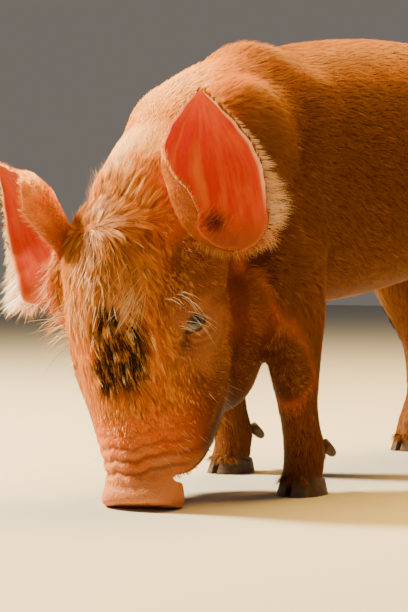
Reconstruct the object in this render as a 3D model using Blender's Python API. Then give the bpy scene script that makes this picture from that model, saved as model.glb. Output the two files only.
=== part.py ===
"""Tamworth piglet, about seven weeks old, rooting with its snout on the floor.

Metres, +Z up. The animal faces -Y and its left side is at +X. The sizes below are
given from the floor point midway between the two forefeet, and the finished animal
is moved so that the centre of its footprint is the origin.
"""
import math
import random

import bmesh
import bpy
from mathutils import Matrix, Vector

gap = 0.0003            # clearance between neighbouring pieces
body_voxel = 0.0036     # grain of the flesh before it is thinned
head_voxel = 0.0026
fine_merge = 0.000001   # doubles closer than this are one point on a piece with locks

# Trunk: station along Y, half width, back height, belly height, widest level
trunk_stations = (
    (-0.078, 0.030, 0.262, 0.165, 0.214),
    (-0.060, 0.048, 0.285, 0.142, 0.214),
    (-0.036, 0.058, 0.303, 0.129, 0.212),
    (-0.006, 0.064, 0.303, 0.123, 0.210),
    (0.037, 0.071, 0.311, 0.123, 0.208),
    (0.086, 0.077, 0.318, 0.128, 0.210),
    (0.130, 0.079, 0.321, 0.135, 0.214),
    (0.176, 0.077, 0.321, 0.146, 0.222),
    (0.220, 0.072, 0.318, 0.160, 0.232),
    (0.262, 0.065, 0.308, 0.170, 0.236),
    (0.298, 0.053, 0.290, 0.180, 0.232),
    (0.322, 0.036, 0.268, 0.196, 0.230),
    (0.333, 0.016, 0.248, 0.216, 0.231),
)

# Neck: centre, downward pitch in degrees, half width, reach up, reach down
neck_stations = (
    ((0.000, -0.020, 0.213), 5, 0.058, 0.086, 0.086),
    ((-0.002, -0.052, 0.204), 20, 0.056, 0.082, 0.079),
    ((-0.005, -0.080, 0.186), 38, 0.053, 0.071, 0.070),
    ((-0.006, -0.105, 0.160), 58, 0.048, 0.060, 0.052),
    ((-0.006, -0.120, 0.140), 72, 0.040, 0.040, 0.040),
)

# Throat: soft flesh from the jaw back to the breast
throat_place = (0.000, -0.060, 0.108)
throat_radii = (0.029, 0.056, 0.034)
throat_slope = 45.0

# Head frame: under the snout, yawed and rolled towards the animal's left
head_origin = (0.021, -0.154, 0.000)
head_yaw = 13.0
head_roll = 8.5
face_narrowing = 0.45
# Head: height up the head, half width, front line, back line, squareness
head_stations = (
    (0.0175, 0.0285, -0.0195, 0.0340, 2.3),
    (0.0250, 0.0325, -0.0185, 0.0530, 2.4),
    (0.0450, 0.0405, -0.0180, 0.0695, 2.5),
    (0.0660, 0.0465, -0.0175, 0.0830, 2.6),
    (0.0900, 0.0520, -0.0180, 0.0900, 2.7),
    (0.1120, 0.0540, -0.0205, 0.0890, 2.7),
    (0.1350, 0.0550, -0.0225, 0.0880, 2.6),
    (0.1580, 0.0535, -0.0205, 0.0820, 2.4),
    (0.1760, 0.0470, -0.0140, 0.0740, 2.3),
    (0.1890, 0.0360, -0.0030, 0.0600, 2.2),
    (0.1970, 0.0190, 0.0120, 0.0440, 2.0),
)
# Snout disc: height, half width, front line, back line
disc_stations = (
    (0.0000, 0.0240, -0.0190, 0.0180),
    (0.0018, 0.0264, -0.0215, 0.0203),
    (0.0065, 0.0272, -0.0222, 0.0212),
    (0.0105, 0.0262, -0.0208, 0.0206),
    (0.0170, 0.0250, -0.0190, 0.0200),
)
disc_tilt = 13.0        # front rim raised
disc_roll = -5.0        # turned back towards level
disc_part_height = 0.0115
nostril_spacing = 0.0100
nostril_radii = (0.0038, 0.0050, 0.0085)

eye_radius = 0.0095
eye_place = (0.0372, 0.0250, 0.1100)     # head frame, left side
eye_axis = (0.80, -0.60, 0.06)
lid_thickness = 0.0021
eye_opening_length = 0.0165
eye_opening_height = 0.0100
eye_opening_slant = 38.0

mouth_line = ((0.0080, 0.0180), (0.0250, 0.0235), (0.0400, 0.0330),
              (0.0520, 0.0440), (0.0600, 0.0500))   # back, height in the head frame
mouth_gap = 0.0011

jowl_place = (0.030, 0.066, 0.092)
jowl_radii = (0.022, 0.036, 0.038)

# Ears: root in the head frame, direction of the tip and from front rim to rear rim,
# how far the front margin rolls in low and high on the ear, how much wider the rear
# and front halves are, and how the front half narrows to the root
ears = {
    "left": {"root": (0.065, 0.021, 0.163), "tip": (-0.13, -0.02, 0.985),
             "across": (0.52, 0.83, 0.09), "length": 0.102, "base": (0.042, 0.040, 0.160),
             "roll": (1.22, 1.02), "rear": 1.0, "front": 1.0, "taper": (0.34, 0.75)},
    "right": {"root": (-0.0532, 0.031, 0.159), "tip": (-0.602, -0.130, 0.826),
              "across": (-0.404, 0.413, -0.727), "length": 0.0985, "base": (-0.042, 0.034, 0.164),
              "roll": (0.97, 0.97), "rear": 1.19, "front": 1.72, "taper": (0.22, 1.0)},
}
# Ear outline: share of the length, half width, angle that shapes the cup, angles to the
# rear rim and to the front rim in degrees
ear_profile = (
    (0.00, 0.0200, 112, 118, 76),
    (0.10, 0.0240, 104, 110, 86),
    (0.22, 0.0280, 90, 96, 104),
    (0.36, 0.0300, 74, 79, 112),
    (0.50, 0.0310, 62, 65, 98),
    (0.64, 0.0280, 54, 56, 80),
    (0.78, 0.0205, 48, 49, 64),
    (0.90, 0.0115, 42, 42, 50),
    (1.00, 0.0026, 36, 36, 38),
)
ear_roll_from = 0.20    # the front margin's roll changes between these shares of the length
ear_roll_to = 0.45
ear_root_depth = 0.012  # how far the sheet starts inside the head
ear_set = 0.35          # the cup's middle lies behind the axis by this share of its width
ear_front_peak = 1.15   # above 1, the front half is widest below the middle
ear_base_radii = (0.017, 0.020, 0.024)
ear_columns = 10
ear_rows = 11
ear_thickness = (0.0030, 0.0014)
fringe_locks = 30
fringe_length = 0.0165
fringe_from = 0.10
fringe_to = 0.93
fringe_inset = 0.86     # curl just inside the rear rim, from which a lock points outwards
fringe_out = 0.90       # lean of a lock outwards, across the ear and away from its opening
fringe_across = 0.35
fringe_behind = 0.25
fringe_scatter = (-0.18, 0.12)
fringe_turn = (-0.30, 0.16)
fringe_swell = (0.14, 0.76, 0.60)   # the locks are longest half way up
fringe_bend = ((-0.28, -0.05), (-0.05, 0.15))
lock_root = 0.0032      # how far a lock's root is sunk
lock_width = 0.0042
lock_thickness = (0.0009, 0.0005)
lock_rows = ((0.0, 0.85), (0.40, 1.0), (0.74, 0.62))   # place along a lock, share of its width
lock_seed = 7

# Legs: height, fore-and-aft centre, sideways centre, half width, half depth
foreleg_stations = (
    (0.232, 0.016, -0.030, 0.0200, 0.0320),
    (0.200, 0.010, -0.024, 0.0210, 0.0330),
    (0.168, 0.004, -0.016, 0.0210, 0.0300),
    (0.145, -0.001, -0.009, 0.0200, 0.0265),
    (0.120, -0.006, -0.003, 0.0182, 0.0235),
    (0.096, -0.008, -0.001, 0.0170, 0.0208),
    (0.078, -0.009, 0.000, 0.0160, 0.0182),
    (0.062, -0.007, 0.000, 0.0142, 0.0156),
    (0.046, -0.003, 0.000, 0.0134, 0.0146),
    (0.031, 0.001, 0.000, 0.0146, 0.0158),
    (0.020, 0.000, 0.000, 0.0142, 0.0150),
    (0.006, -0.003, 0.000, 0.0140, 0.0150),
)
hindleg_stations = (
    (0.245, 0.004, -0.012, 0.0260, 0.0500),
    (0.205, 0.002, -0.006, 0.0320, 0.0540),
    (0.168, -0.004, -0.002, 0.0300, 0.0500),
    (0.138, -0.005, 0.000, 0.0250, 0.0420),
    (0.112, 0.003, 0.001, 0.0200, 0.0300),
    (0.090, 0.014, 0.001, 0.0165, 0.0215),
    (0.073, 0.018, 0.000, 0.0160, 0.0205),
    (0.055, 0.014, 0.000, 0.0136, 0.0150),
    (0.044, 0.012, 0.000, 0.0130, 0.0142),
    (0.031, 0.007, 0.000, 0.0145, 0.0158),
    (0.020, 0.001, 0.000, 0.0142, 0.0150),
    (0.006, -0.004, 0.000, 0.0140, 0.0150),
)
leg_cut_height = 0.140  # the head's flesh is fused with the legs above this only
# Each leg: foot on the floor, outward turn of the toes, its stations, parting height
legs = {
    "foreleg_left": {"foot": (0.058, -0.0365), "turn": 4, "side": 1, "parting": 0.1330},
    "foreleg_right": {"foot": (-0.060, 0.0345), "turn": 3, "side": -1, "parting": 0.1190},
    "hindleg_left": {"foot": (0.048, 0.284), "turn": 5, "side": 1, "parting": 0.1480},
    "hindleg_right": {"foot": (-0.048, 0.256), "turn": 5, "side": -1, "parting": 0.1480},
}
coronet_front = 0.0175
coronet_back = 0.0090
claw_width = 0.0138
claw_toe = 0.0205
claw_heel = 0.0160
claw_toe_slope = 0.0072  # how far the toe leans back up to the coronet
claw_heel_slope = 0.0012
claw_hollow = 0.0016    # the inner wall's ends stand off the cleft
claw_levels = 3
claw_sides = 12
claw_cleft = 0.0009
dewclaw_radius = 0.0040

tail_root = (0.0, 0.326, 0.262)
tail_radii = (0.0072, 0.0022)
tail_reach = 0.046
tail_drop = 0.105
tail_curl_radius = 0.017
tail_curl_turns = 1.25
tail_steps = 41
tail_stub_steps = 5     # steps of the tail's path that stay on the rump
tail_locks = 6
tail_lock_length = 0.020
tail_lock_step = 0.0012  # each lock starts this much further back than the last
tail_lock_offset = 0.0006
tail_lock_spread = (0.16, 0.34)
tail_lock_width = 0.6    # share of the width of an ear's lock
tail_lock_bend = -0.06

colours = {
    "coat": (0.50, 0.17, 0.045, 0.75),
    "face": (0.55, 0.20, 0.065, 0.75),
    "ear": (0.72, 0.25, 0.12, 0.65),
    "snout": (0.62, 0.30, 0.22, 0.55),
    "hoof": (0.16, 0.10, 0.065, 0.45),
    "eye": (0.05, 0.035, 0.025, 0.08),
}


def clear_scene():
    for thing in list(bpy.data.objects):
        bpy.data.objects.remove(thing, do_unlink=True)


def material(name):
    red, green, blue, rough = colours[name]
    made = bpy.data.materials.get(name)
    if made is None:
        made = bpy.data.materials.new(name)
        made.use_nodes = True
        shader = made.node_tree.nodes["Principled BSDF"]
        shader.inputs["Base Color"].default_value = (red, green, blue, 1.0)
        shader.inputs["Roughness"].default_value = rough
    return made


def add_object(name, mesh_or_bmesh, finish=None):
    """Make a linked object from a mesh or a bmesh."""
    if isinstance(mesh_or_bmesh, bmesh.types.BMesh):
        mesh = bpy.data.meshes.new(name)
        mesh_or_bmesh.to_mesh(mesh)
        mesh_or_bmesh.free()
    else:
        mesh = mesh_or_bmesh
    made = bpy.data.objects.new(name, mesh)
    bpy.context.scene.collection.objects.link(made)
    if finish:
        made.data.materials.clear()
        made.data.materials.append(material(finish))
    return made


def remove(made):
    bpy.data.objects.remove(made, do_unlink=True)


def ring(centre, right, up, half_width, reach_up, reach_down, power=2.0,
         narrowing=0.0, sides=28):
    """One closed section: a superellipse that can narrow towards its lower side."""
    points = []
    for index in range(sides):
        angle = 2.0 * math.pi * index / sides
        across = math.copysign(abs(math.cos(angle)) ** (2.0 / power), math.cos(angle))
        along = math.copysign(abs(math.sin(angle)) ** (2.0 / power), math.sin(angle))
        width = half_width * (1.0 - narrowing * max(0.0, -along) ** 1.1)
        reach = reach_up if along > 0.0 else reach_down
        points.append(centre + right * (across * width) + up * (along * reach))
    return points


def skin_rings(name, rings):
    """Close a row of sections into one solid."""
    shape = bmesh.new()
    rows = [[shape.verts.new(point) for point in row] for row in rings]
    count = len(rows[0])
    for lower, upper in zip(rows, rows[1:]):
        for index in range(count):
            after = (index + 1) % count
            shape.faces.new((lower[index], lower[after], upper[after], upper[index]))
    for row in (rows[0], rows[-1]):
        middle = shape.verts.new(sum((v.co for v in row), Vector()) / count)
        for index in range(count):
            shape.faces.new((row[index], row[(index + 1) % count], middle))
    bmesh.ops.recalc_face_normals(shape, faces=shape.faces)
    return add_object(name, shape)


def smooth_stations(stations, steps):
    """Fill in between stations with a Catmull-Rom curve through every value."""
    filled = []
    last = len(stations) - 1
    for index in range(last):
        before = stations[max(index - 1, 0)]
        start = stations[index]
        end = stations[index + 1]
        after = stations[min(index + 2, last)]
        for step in range(steps):
            t = step / steps
            filled.append(tuple(
                0.5 * (2.0 * b + (c - a) * t + (2.0 * a - 5.0 * b + 4.0 * c - d) * t * t
                       + (3.0 * b - a - 3.0 * c + d) * t ** 3)
                for a, b, c, d in zip(before, start, end, after)))
    filled.append(tuple(stations[-1]))
    return filled


def head_frame():
    yaw = Matrix.Rotation(math.radians(head_yaw), 4, "Z")
    roll = Matrix.Rotation(math.radians(-head_roll), 4, "Y")
    return Matrix.Translation(head_origin) @ yaw @ roll


def disc_frame():
    tilt = Matrix.Rotation(math.radians(-disc_tilt), 4, "X")
    level = Matrix.Rotation(math.radians(-disc_roll), 4, "Y")
    return head_frame() @ level @ tilt


def ellipsoid(name, centre, radii, turn=None, fineness=3):
    shape = bmesh.new()
    bmesh.ops.create_icosphere(shape, subdivisions=fineness, radius=1.0)
    place = Matrix.Translation(centre) @ (turn or Matrix.Identity(4))
    bmesh.ops.transform(shape, verts=shape.verts, matrix=place @ Matrix.Diagonal((*radii, 1.0)))
    return add_object(name, shape)


def trunk():
    rings = []
    for y, width, top, bottom, level in smooth_stations(trunk_stations, 3):
        rings.append(ring(Vector((0.0, y, level)), Vector((1, 0, 0)), Vector((0, 0, 1)),
                          width, top - level, level - bottom, 2.15))
    return skin_rings("trunk_form", rings)


def neck_form():
    rings = []
    flat = [(*centre, pitch, width, up, down) for centre, pitch, width, up, down in neck_stations]
    for x, y, z, pitch, width, up, down in smooth_stations(flat, 3):
        turn = math.radians(pitch)
        upward = Vector((0.0, -math.sin(turn), math.cos(turn)))
        rings.append(ring(Vector((x, y, z)), Vector((1, 0, 0)), upward, width, up, down, 2.15))
    return skin_rings("neck_form", rings)


def head_form():
    place = head_frame()
    turn = place.to_3x3()
    rings = []
    for height, width, front, back, power in smooth_stations(head_stations, 3):
        middle = 0.5 * (front + back)
        reach = 0.5 * (back - front)
        rings.append(ring(place @ Vector((0.0, middle, height)), turn @ Vector((1, 0, 0)),
                          turn @ Vector((0, 1, 0)), width, reach, reach, power, face_narrowing))
    return skin_rings("head_form", rings)


def disc_form():
    place = disc_frame()
    turn = place.to_3x3()
    rings = []
    for height, width, front, back in smooth_stations(disc_stations, 2):
        middle = 0.5 * (front + back)
        reach = 0.5 * (back - front)
        rings.append(ring(place @ Vector((0.0, middle, height)), turn @ Vector((1, 0, 0)),
                          turn @ Vector((0, 1, 0)), width, reach, reach, 2.25))
    return skin_rings("disc_form", rings)


def throat_form():
    turn = Matrix.Rotation(math.radians(throat_slope), 4, "X")
    return ellipsoid("throat_form", throat_place, throat_radii, turn)


def leg_form(name, lowest=0.0):
    leg = legs[name]
    stations = foreleg_stations if name.startswith("fore") else hindleg_stations
    foot_x, foot_y = leg["foot"]
    rings = []
    for height, back, inward, width, depth in smooth_stations(stations, 3):
        if height < lowest:
            break
        centre = Vector((foot_x + leg["side"] * inward, foot_y + back, height))
        rings.append(ring(centre, Vector((1, 0, 0)), Vector((0, 1, 0)), width, depth, depth, 2.2,
                          sides=20))
    return skin_rings(name + "_form", rings)


def shoulders_and_hams():
    forms = []
    for side, fore, hind in ((1, "foreleg_left", "hindleg_left"),
                             (-1, "foreleg_right", "hindleg_right")):
        fore_y = 0.35 * legs[fore]["foot"][1]
        forms.append(ellipsoid("shoulder_form", (side * 0.040, fore_y - 0.004, 0.215),
                               (0.024, 0.044, 0.072),
                               Matrix.Rotation(math.radians(-14), 4, "X")))
        forms.append(ellipsoid("crest_form", (side * 0.027, -0.062, 0.226),
                               (0.034, 0.048, 0.050),
                               Matrix.Rotation(math.radians(28), 4, "X")))
        hind_y = 0.4 * (legs[hind]["foot"][1] - 0.27)
        forms.append(ellipsoid("ham_form", (side * 0.040, 0.268 + hind_y, 0.222),
                               (0.034, 0.056, 0.062)))
    return forms


def face_forms():
    place = head_frame()
    forms = []
    for side in (1, -1):
        centre = Vector((side * jowl_place[0], jowl_place[1], jowl_place[2]))
        forms.append(ellipsoid("jowl_form", place @ centre, jowl_radii))
        eye = Vector((side * eye_place[0], eye_place[1], eye_place[2]))
        size = eye_radius + lid_thickness
        forms.append(ellipsoid("lid_form", place @ eye, (size, size, size)))
    for side in ears:
        forms.append(ellipsoid("ear_base_form", place @ Vector(ears[side]["base"]),
                               ear_base_radii))
    return forms


def tail_path(steps):
    """The tail leaves the rump backwards, droops and winds once round itself."""
    points = []
    for index in range(steps + 1):
        t = index / steps
        turn = 2.0 * math.pi * tail_curl_turns * max(t - 0.22, 0.0) / 0.78
        grow = tail_curl_radius * min(1.0, max(t - 0.16, 0.0) / 0.3)
        side = grow * math.sin(turn)
        away = tail_reach * math.sin(0.5 * math.pi * min(t / 0.42, 1.0))
        away += grow * (1.0 - math.cos(turn)) * 0.9
        drop = tail_drop * max(t - 0.05, 0.0) ** 1.5
        points.append(Vector(tail_root) + Vector((side, away, -drop)))
    return points


def tube(name, points, radii, sides=12):
    rings = []
    reference = Vector((1, 0, 0))
    for index, point in enumerate(points):
        ahead = points[min(index + 1, len(points) - 1)] - points[max(index - 1, 0)]
        ahead.normalize()
        side = (reference - ahead * reference.dot(ahead)).normalized()
        reference = side
        up = side.cross(ahead)
        rings.append(ring(point, side, up, radii[index], radii[index], radii[index], sides=sides))
    return skin_rings(name, rings)


def join(name, pieces):
    """Put the meshes of several objects into one object."""
    shape = bmesh.new()
    for piece in pieces:
        shape.from_mesh(piece.data)
        remove(piece)
    return add_object(name, shape)


def evaluated_copy(source, name):
    bpy.context.view_layer.update()
    graph = bpy.context.evaluated_depsgraph_get()
    mesh = bpy.data.meshes.new_from_object(source.evaluated_get(graph))
    mesh.name = name
    return add_object(name, mesh)


def apply_modifiers(made):
    fresh = evaluated_copy(made, made.name)
    name = made.name
    remove(made)
    fresh.name = name
    return fresh


def fuse_flesh(forms, voxel, rounds, keep):
    """One soft skin over overlapping forms, thinned to a share of its triangles."""
    remesh = forms.modifiers.new("fuse", "REMESH")
    remesh.mode = "VOXEL"
    remesh.voxel_size = voxel
    remesh.adaptivity = 0.0
    soften = forms.modifiers.new("soften", "SMOOTH")
    soften.factor = 0.5
    soften.iterations = rounds
    thin = forms.modifiers.new("thin", "DECIMATE")
    thin.ratio = keep
    thin.use_collapse_triangulate = True
    return apply_modifiers(forms)


def triangulate(made):
    shape = bmesh.new()
    shape.from_mesh(made.data)
    bmesh.ops.triangulate(shape, faces=shape.faces)
    shape.to_mesh(made.data)
    shape.free()


def loose_parts(made):
    """Split an object's mesh into its separate closed surfaces."""
    shape = bmesh.new()
    shape.from_mesh(made.data)
    shape.verts.ensure_lookup_table()
    seen = set()
    groups = []
    for start in shape.verts:
        if start.index in seen:
            continue
        group = []
        stack = [start]
        seen.add(start.index)
        while stack:
            vert = stack.pop()
            group.append(vert)
            for edge in vert.link_edges:
                other = edge.other_vert(vert)
                if other.index not in seen:
                    seen.add(other.index)
                    stack.append(other)
        groups.append(group)
    parts = []
    for group in groups:
        part = bmesh.new()
        copies = {vert.index: part.verts.new(vert.co) for vert in group}
        faces = {face for vert in group for face in vert.link_faces}
        for face in sorted(faces, key=lambda face: face.index):
            part.faces.new([copies[vert.index] for vert in face.verts])
        parts.append(part)
    shape.free()
    return parts


def keep_largest(made):
    parts = loose_parts(made)
    parts.sort(key=lambda part: abs(part.calc_volume()), reverse=True)
    parts[0].to_mesh(made.data)
    for part in parts:
        part.free()


def boolean(made, other, operation="DIFFERENCE", solver="EXACT", discard=True):
    change = made.modifiers.new("cut", "BOOLEAN")
    change.operation = operation
    change.object = other
    change.solver = solver
    result = apply_modifiers(made)
    if discard:
        remove(other)
    return result


def union_all(made, pieces, name):
    """Fuse many small closed pieces to one object in a single union."""
    group = bpy.data.collections.new(name)
    bpy.context.scene.collection.children.link(group)
    for piece in pieces:
        bpy.context.scene.collection.objects.unlink(piece)
        group.objects.link(piece)
    change = made.modifiers.new("fuse", "BOOLEAN")
    change.operation = "UNION"
    change.operand_type = "COLLECTION"
    change.collection = group
    change.solver = "MANIFOLD"
    result = apply_modifiers(made)
    for piece in list(group.objects):
        remove(piece)
    bpy.data.collections.remove(group)
    return result


def clean(made, merge=0.00002):
    """Merge doubles, drop slivers of zero area and triangulate."""
    shape = bmesh.new()
    shape.from_mesh(made.data)
    bmesh.ops.remove_doubles(shape, verts=shape.verts, dist=merge)
    bmesh.ops.dissolve_degenerate(shape, edges=shape.edges, dist=merge)
    bmesh.ops.triangulate(shape, faces=shape.faces)
    shape.to_mesh(made.data)
    shape.free()


def slab(name, centre, normal, across, half_sizes):
    """A plate one gap thick, centred on a parting plane."""
    normal = Vector(normal).normalized()
    across = Vector(across)
    across = (across - normal * across.dot(normal)).normalized()
    third = normal.cross(across)
    turn = Matrix((across, third, normal)).transposed().to_4x4()
    shape = bmesh.new()
    bmesh.ops.create_cube(shape, size=2.0)
    size = Matrix.Diagonal((half_sizes[0], half_sizes[1], 0.5 * gap, 1.0))
    bmesh.ops.transform(shape, verts=shape.verts,
                        matrix=Matrix.Translation(centre) @ turn @ size)
    return add_object(name, shape)


def disc_plate(name, centre, normal, radius):
    normal = Vector(normal).normalized()
    turn = normal.to_track_quat("Z", "Y").to_matrix().to_4x4()
    shape = bmesh.new()
    bmesh.ops.create_cone(shape, cap_ends=True, segments=32, radius1=radius, radius2=radius,
                          depth=gap)
    bmesh.ops.transform(shape, verts=shape.verts, matrix=Matrix.Translation(centre) @ turn)
    return add_object(name, shape)


def bisect(made, point, normal):
    """Keep the side of a plane that its normal points to, and close the cut."""
    shape = bmesh.new()
    shape.from_mesh(made.data)
    geometry = list(shape.verts) + list(shape.edges) + list(shape.faces)
    cut = bmesh.ops.bisect_plane(shape, geom=geometry, plane_co=point,
                                 plane_no=-Vector(normal), clear_outer=True, dist=0.00001)
    rim = [item for item in cut["geom_cut"] if isinstance(item, bmesh.types.BMEdge)]
    bmesh.ops.triangle_fill(shape, edges=rim, use_beauty=True)
    bmesh.ops.recalc_face_normals(shape, faces=shape.faces)
    shape.to_mesh(made.data)
    shape.free()


def swollen_copy(made, amount):
    """A copy pushed out along its normals, to cut a neighbour clear of it."""
    shape = bmesh.new()
    shape.from_mesh(made.data)
    shape.normal_update()
    moves = [vert.normal.copy() for vert in shape.verts]
    for vert, move in zip(shape.verts, moves):
        vert.co += move * amount
    return add_object(made.name + "_swollen", shape)


def fit_against(piece, host, merge=0.00002):
    """Trim the root of a piece so that it meets its host with one gap."""
    fitted = boolean(piece, swollen_copy(host, gap * 1.15))
    keep_largest(fitted)
    clean(fitted, merge)
    return fitted


def ease(t):
    t = min(max(t, 0.0), 1.0)
    return t * t * (3.0 - 2.0 * t)


def ear_point(ear, share, curl):
    """Point on the middle sheet of an ear; curl runs from -1, front rim, to 1, rear rim."""
    tip, across, opening, root = ear["axes"]
    for lower, upper in zip(ear_profile, ear_profile[1:]):
        if share <= upper[0]:
            break
    t = (share - lower[0]) / (upper[0] - lower[0])
    t = t * t * (3.0 - 2.0 * t) * 0.35 + t * 0.65
    half_width, shaping, rear, front = [a + (b - a) * t for a, b in zip(lower[1:], upper[1:])]
    radius = half_width / math.sin(math.radians(min(shaping, 90.0)))
    if curl > 0.0:
        angle = math.radians(rear) * curl
        width = 1.0 + (ear["rear"] - 1.0) * math.sin(math.pi * share)
    else:
        low, high = ear["roll"]
        roll = low + (high - low) * ease((share - ear_roll_from) / (ear_roll_to - ear_roll_from))
        angle = math.radians(front) * roll * curl
        reach, least = ear["taper"]
        width = least + (1.0 - least) * ease(share / reach)
        width *= 1.0 + (ear["front"] - 1.0) * math.sin(
            math.pi * min(ear_front_peak * share, 1.0))
    point = root + tip * (share * ear["length"])
    point = point + across * (radius * width * math.sin(angle))
    return point + opening * (radius * (1.0 - math.cos(angle)) - ear_set * half_width)


def ear_axes(ear):
    tip = Vector(ear["tip"]).normalized()
    across = Vector(ear["across"])
    across = (across - tip * across.dot(tip)).normalized()
    opening = across.cross(tip)
    if opening.y > 0.0:
        opening = -opening
    root = head_frame() @ Vector(ear["root"]) - tip * ear_root_depth
    return tip, across, opening, root


def ear_sheet(name, ear):
    """A cupped leaf with a thick root and thin rims."""
    rows = []
    shares = [index / ear_rows for index in range(ear_rows + 1)]
    step = 0.004
    for share in shares:
        row = []
        for column in range(ear_columns + 1):
            curl = -1.0 + 2.0 * column / ear_columns
            here = ear_point(ear, share, curl)
            along = ear_point(ear, min(share + step, 1.0), curl)
            along = along - ear_point(ear, max(share - step, 0.0), curl)
            round_it = ear_point(ear, share, curl + step) - ear_point(ear, share, curl - step)
            normal = along.cross(round_it).normalized()
            if normal.dot(ear["axes"][2]) < 0.0 and abs(curl) < 0.5:
                normal = -normal
            rim = max(abs(curl), share) ** 2
            half = 0.5 * (ear_thickness[0] + (ear_thickness[1] - ear_thickness[0]) * rim)
            row.append((here, normal, half))
        middle_normal = row[ear_columns // 2][1]
        previous = middle_normal
        for column in range(ear_columns // 2, ear_columns + 1):
            here, normal, half = row[column]
            if normal.dot(previous) < 0.0:
                normal = -normal
            row[column] = (here, normal, half)
            previous = normal
        previous = middle_normal
        for column in range(ear_columns // 2, -1, -1):
            here, normal, half = row[column]
            if normal.dot(previous) < 0.0:
                normal = -normal
            row[column] = (here, normal, half)
            previous = normal
        rows.append(row)
    shape = bmesh.new()
    inner = [[shape.verts.new(p + n * h) for p, n, h in row] for row in rows]
    outer = [[shape.verts.new(p - n * h) for p, n, h in row] for row in rows]
    last_row = len(rows) - 1
    for row in range(last_row):
        for column in range(ear_columns):
            for sheet in (inner, outer):
                a = sheet[row][column]
                b = sheet[row][column + 1]
                c = sheet[row + 1][column + 1]
                d = sheet[row + 1][column]
                shape.faces.new((a, b, c))
                shape.faces.new((a, c, d))
    for row in range(last_row):
        for column in (0, ear_columns):
            shape.faces.new((inner[row][column], inner[row + 1][column],
                             outer[row + 1][column], outer[row][column]))
    for column in range(ear_columns):
        for row in (0, last_row):
            shape.faces.new((inner[row][column], inner[row][column + 1],
                             outer[row][column + 1], outer[row][column]))
    bmesh.ops.recalc_face_normals(shape, faces=shape.faces)
    return add_object(name, shape)


def lock(name, root, away, sideways, length, width, bend):
    """A flat tapered tuft of hair that bends towards its tip."""
    sideways = (sideways - away * sideways.dot(away)).normalized()
    flat = away.cross(sideways)
    shape = bmesh.new()
    rows = []
    for t, share in lock_rows:
        middle = root + away * (length * t) + bend * (length * t * t)
        across = sideways * (0.5 * width * share)
        through = flat * (0.5 * (lock_thickness[0] + (lock_thickness[1] - lock_thickness[0]) * t))
        rows.append([shape.verts.new(middle + across * x + through * y)
                     for x, y in ((1, 1), (-1, 1), (-1, -1), (1, -1))])
    tip = shape.verts.new(root + (away + bend) * length)
    for before, after in zip(rows, rows[1:]):
        for index in range(4):
            follow = (index + 1) % 4
            shape.faces.new((before[index], before[follow], after[follow], after[index]))
    for index in range(4):
        shape.faces.new((rows[-1][index], rows[-1][(index + 1) % 4], tip))
    shape.faces.new(rows[0])
    bmesh.ops.triangulate(shape, faces=shape.faces)
    bmesh.ops.recalc_face_normals(shape, faces=shape.faces)
    return add_object(name, shape)


def ear_fringe(name, ear):
    """Pale locks along the rear rim, longest half way up and leaning towards the nape."""
    draw = random.Random(lock_seed)
    made = []
    across, opening = ear["axes"][1:3]
    low, high, power = fringe_swell
    for index in range(fringe_locks):
        t = (index + draw.uniform(0.3, 0.7)) / fringe_locks
        share = fringe_from + (fringe_to - fringe_from) * t
        rim = ear_point(ear, share, 1.0)
        out = (rim - ear_point(ear, share, fringe_inset)).normalized()
        along = (ear_point(ear, share + 0.01, 1.0) - rim).normalized()
        away = out * fringe_out + across * fringe_across
        away = away - opening * (fringe_behind + draw.uniform(*fringe_scatter))
        away = (away + along * draw.uniform(*fringe_turn)).normalized()
        reach = fringe_length * math.sin(math.pi * (low + high * t)) ** power
        reach *= draw.uniform(0.78, 1.12)
        bend = along * draw.uniform(*fringe_bend[0]) - opening * draw.uniform(*fringe_bend[1])
        width = lock_width * draw.uniform(0.8, 1.2)
        made.append(lock(name, rim - out * lock_root, away, along, reach + lock_root, width, bend))
    return made


def ear_node(side, head):
    ear = dict(ears[side])
    ear["axes"] = ear_axes(ear)
    sheet = ear_sheet("ear_" + side, ear)
    sheet = union_all(sheet, ear_fringe("fringe_" + side, ear), "fringe_group_" + side)
    keep_largest(sheet)
    sheet = fit_against(sheet, head, fine_merge)
    sheet.name = "ear_" + side
    return sheet


def lens_prism(name, centre, axis, long_way):
    """The almond opening between the lids, cut outwards from the eye's centre."""
    axis = axis.normalized()
    long_way = (long_way - axis * long_way.dot(axis)).normalized()
    short_way = axis.cross(long_way)
    rim = []
    steps = 8
    for index in range(2 * steps):
        turn = math.pi * index / steps
        x = 0.5 * eye_opening_length * math.cos(turn)
        lift = abs(math.sin(turn)) ** 1.25
        y = 0.5 * eye_opening_height * math.copysign(lift, math.sin(turn))
        rim.append(long_way * x + short_way * y)
    rings = [[centre + axis * depth + point * grow for point in rim]
             for depth, grow in ((0.001, 0.7), (0.0095, 1.0), (0.026, 1.9))]
    return skin_rings(name, rings)


def eye_parts(side):
    place = head_frame()
    turn = place.to_3x3()
    sign = 1 if side == "left" else -1
    centre = place @ Vector((sign * eye_place[0], eye_place[1], eye_place[2]))
    axis = turn @ Vector((sign * eye_axis[0], eye_axis[1], eye_axis[2])).normalized()
    slant = math.radians(eye_opening_slant)
    forward = turn @ Vector((sign * 0.60, 0.80, 0.0))
    long_way = forward * math.cos(slant) + (turn @ Vector((0, 0, 1))) * math.sin(slant)
    socket = ellipsoid("socket", centre, (eye_radius + gap,) * 3)
    return centre, socket, lens_prism("lids", centre, axis, long_way)


def eyeball(side):
    centre, socket, opening = eye_parts(side)
    remove(socket)
    remove(opening)
    return add_round("eye_" + side, centre, eye_radius)


def add_round(name, centre, radius):
    shape = bmesh.new()
    bmesh.ops.create_icosphere(shape, subdivisions=3, radius=radius)
    bmesh.ops.translate(shape, verts=shape.verts, vec=centre)
    return add_object(name, shape, "eye")


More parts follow.
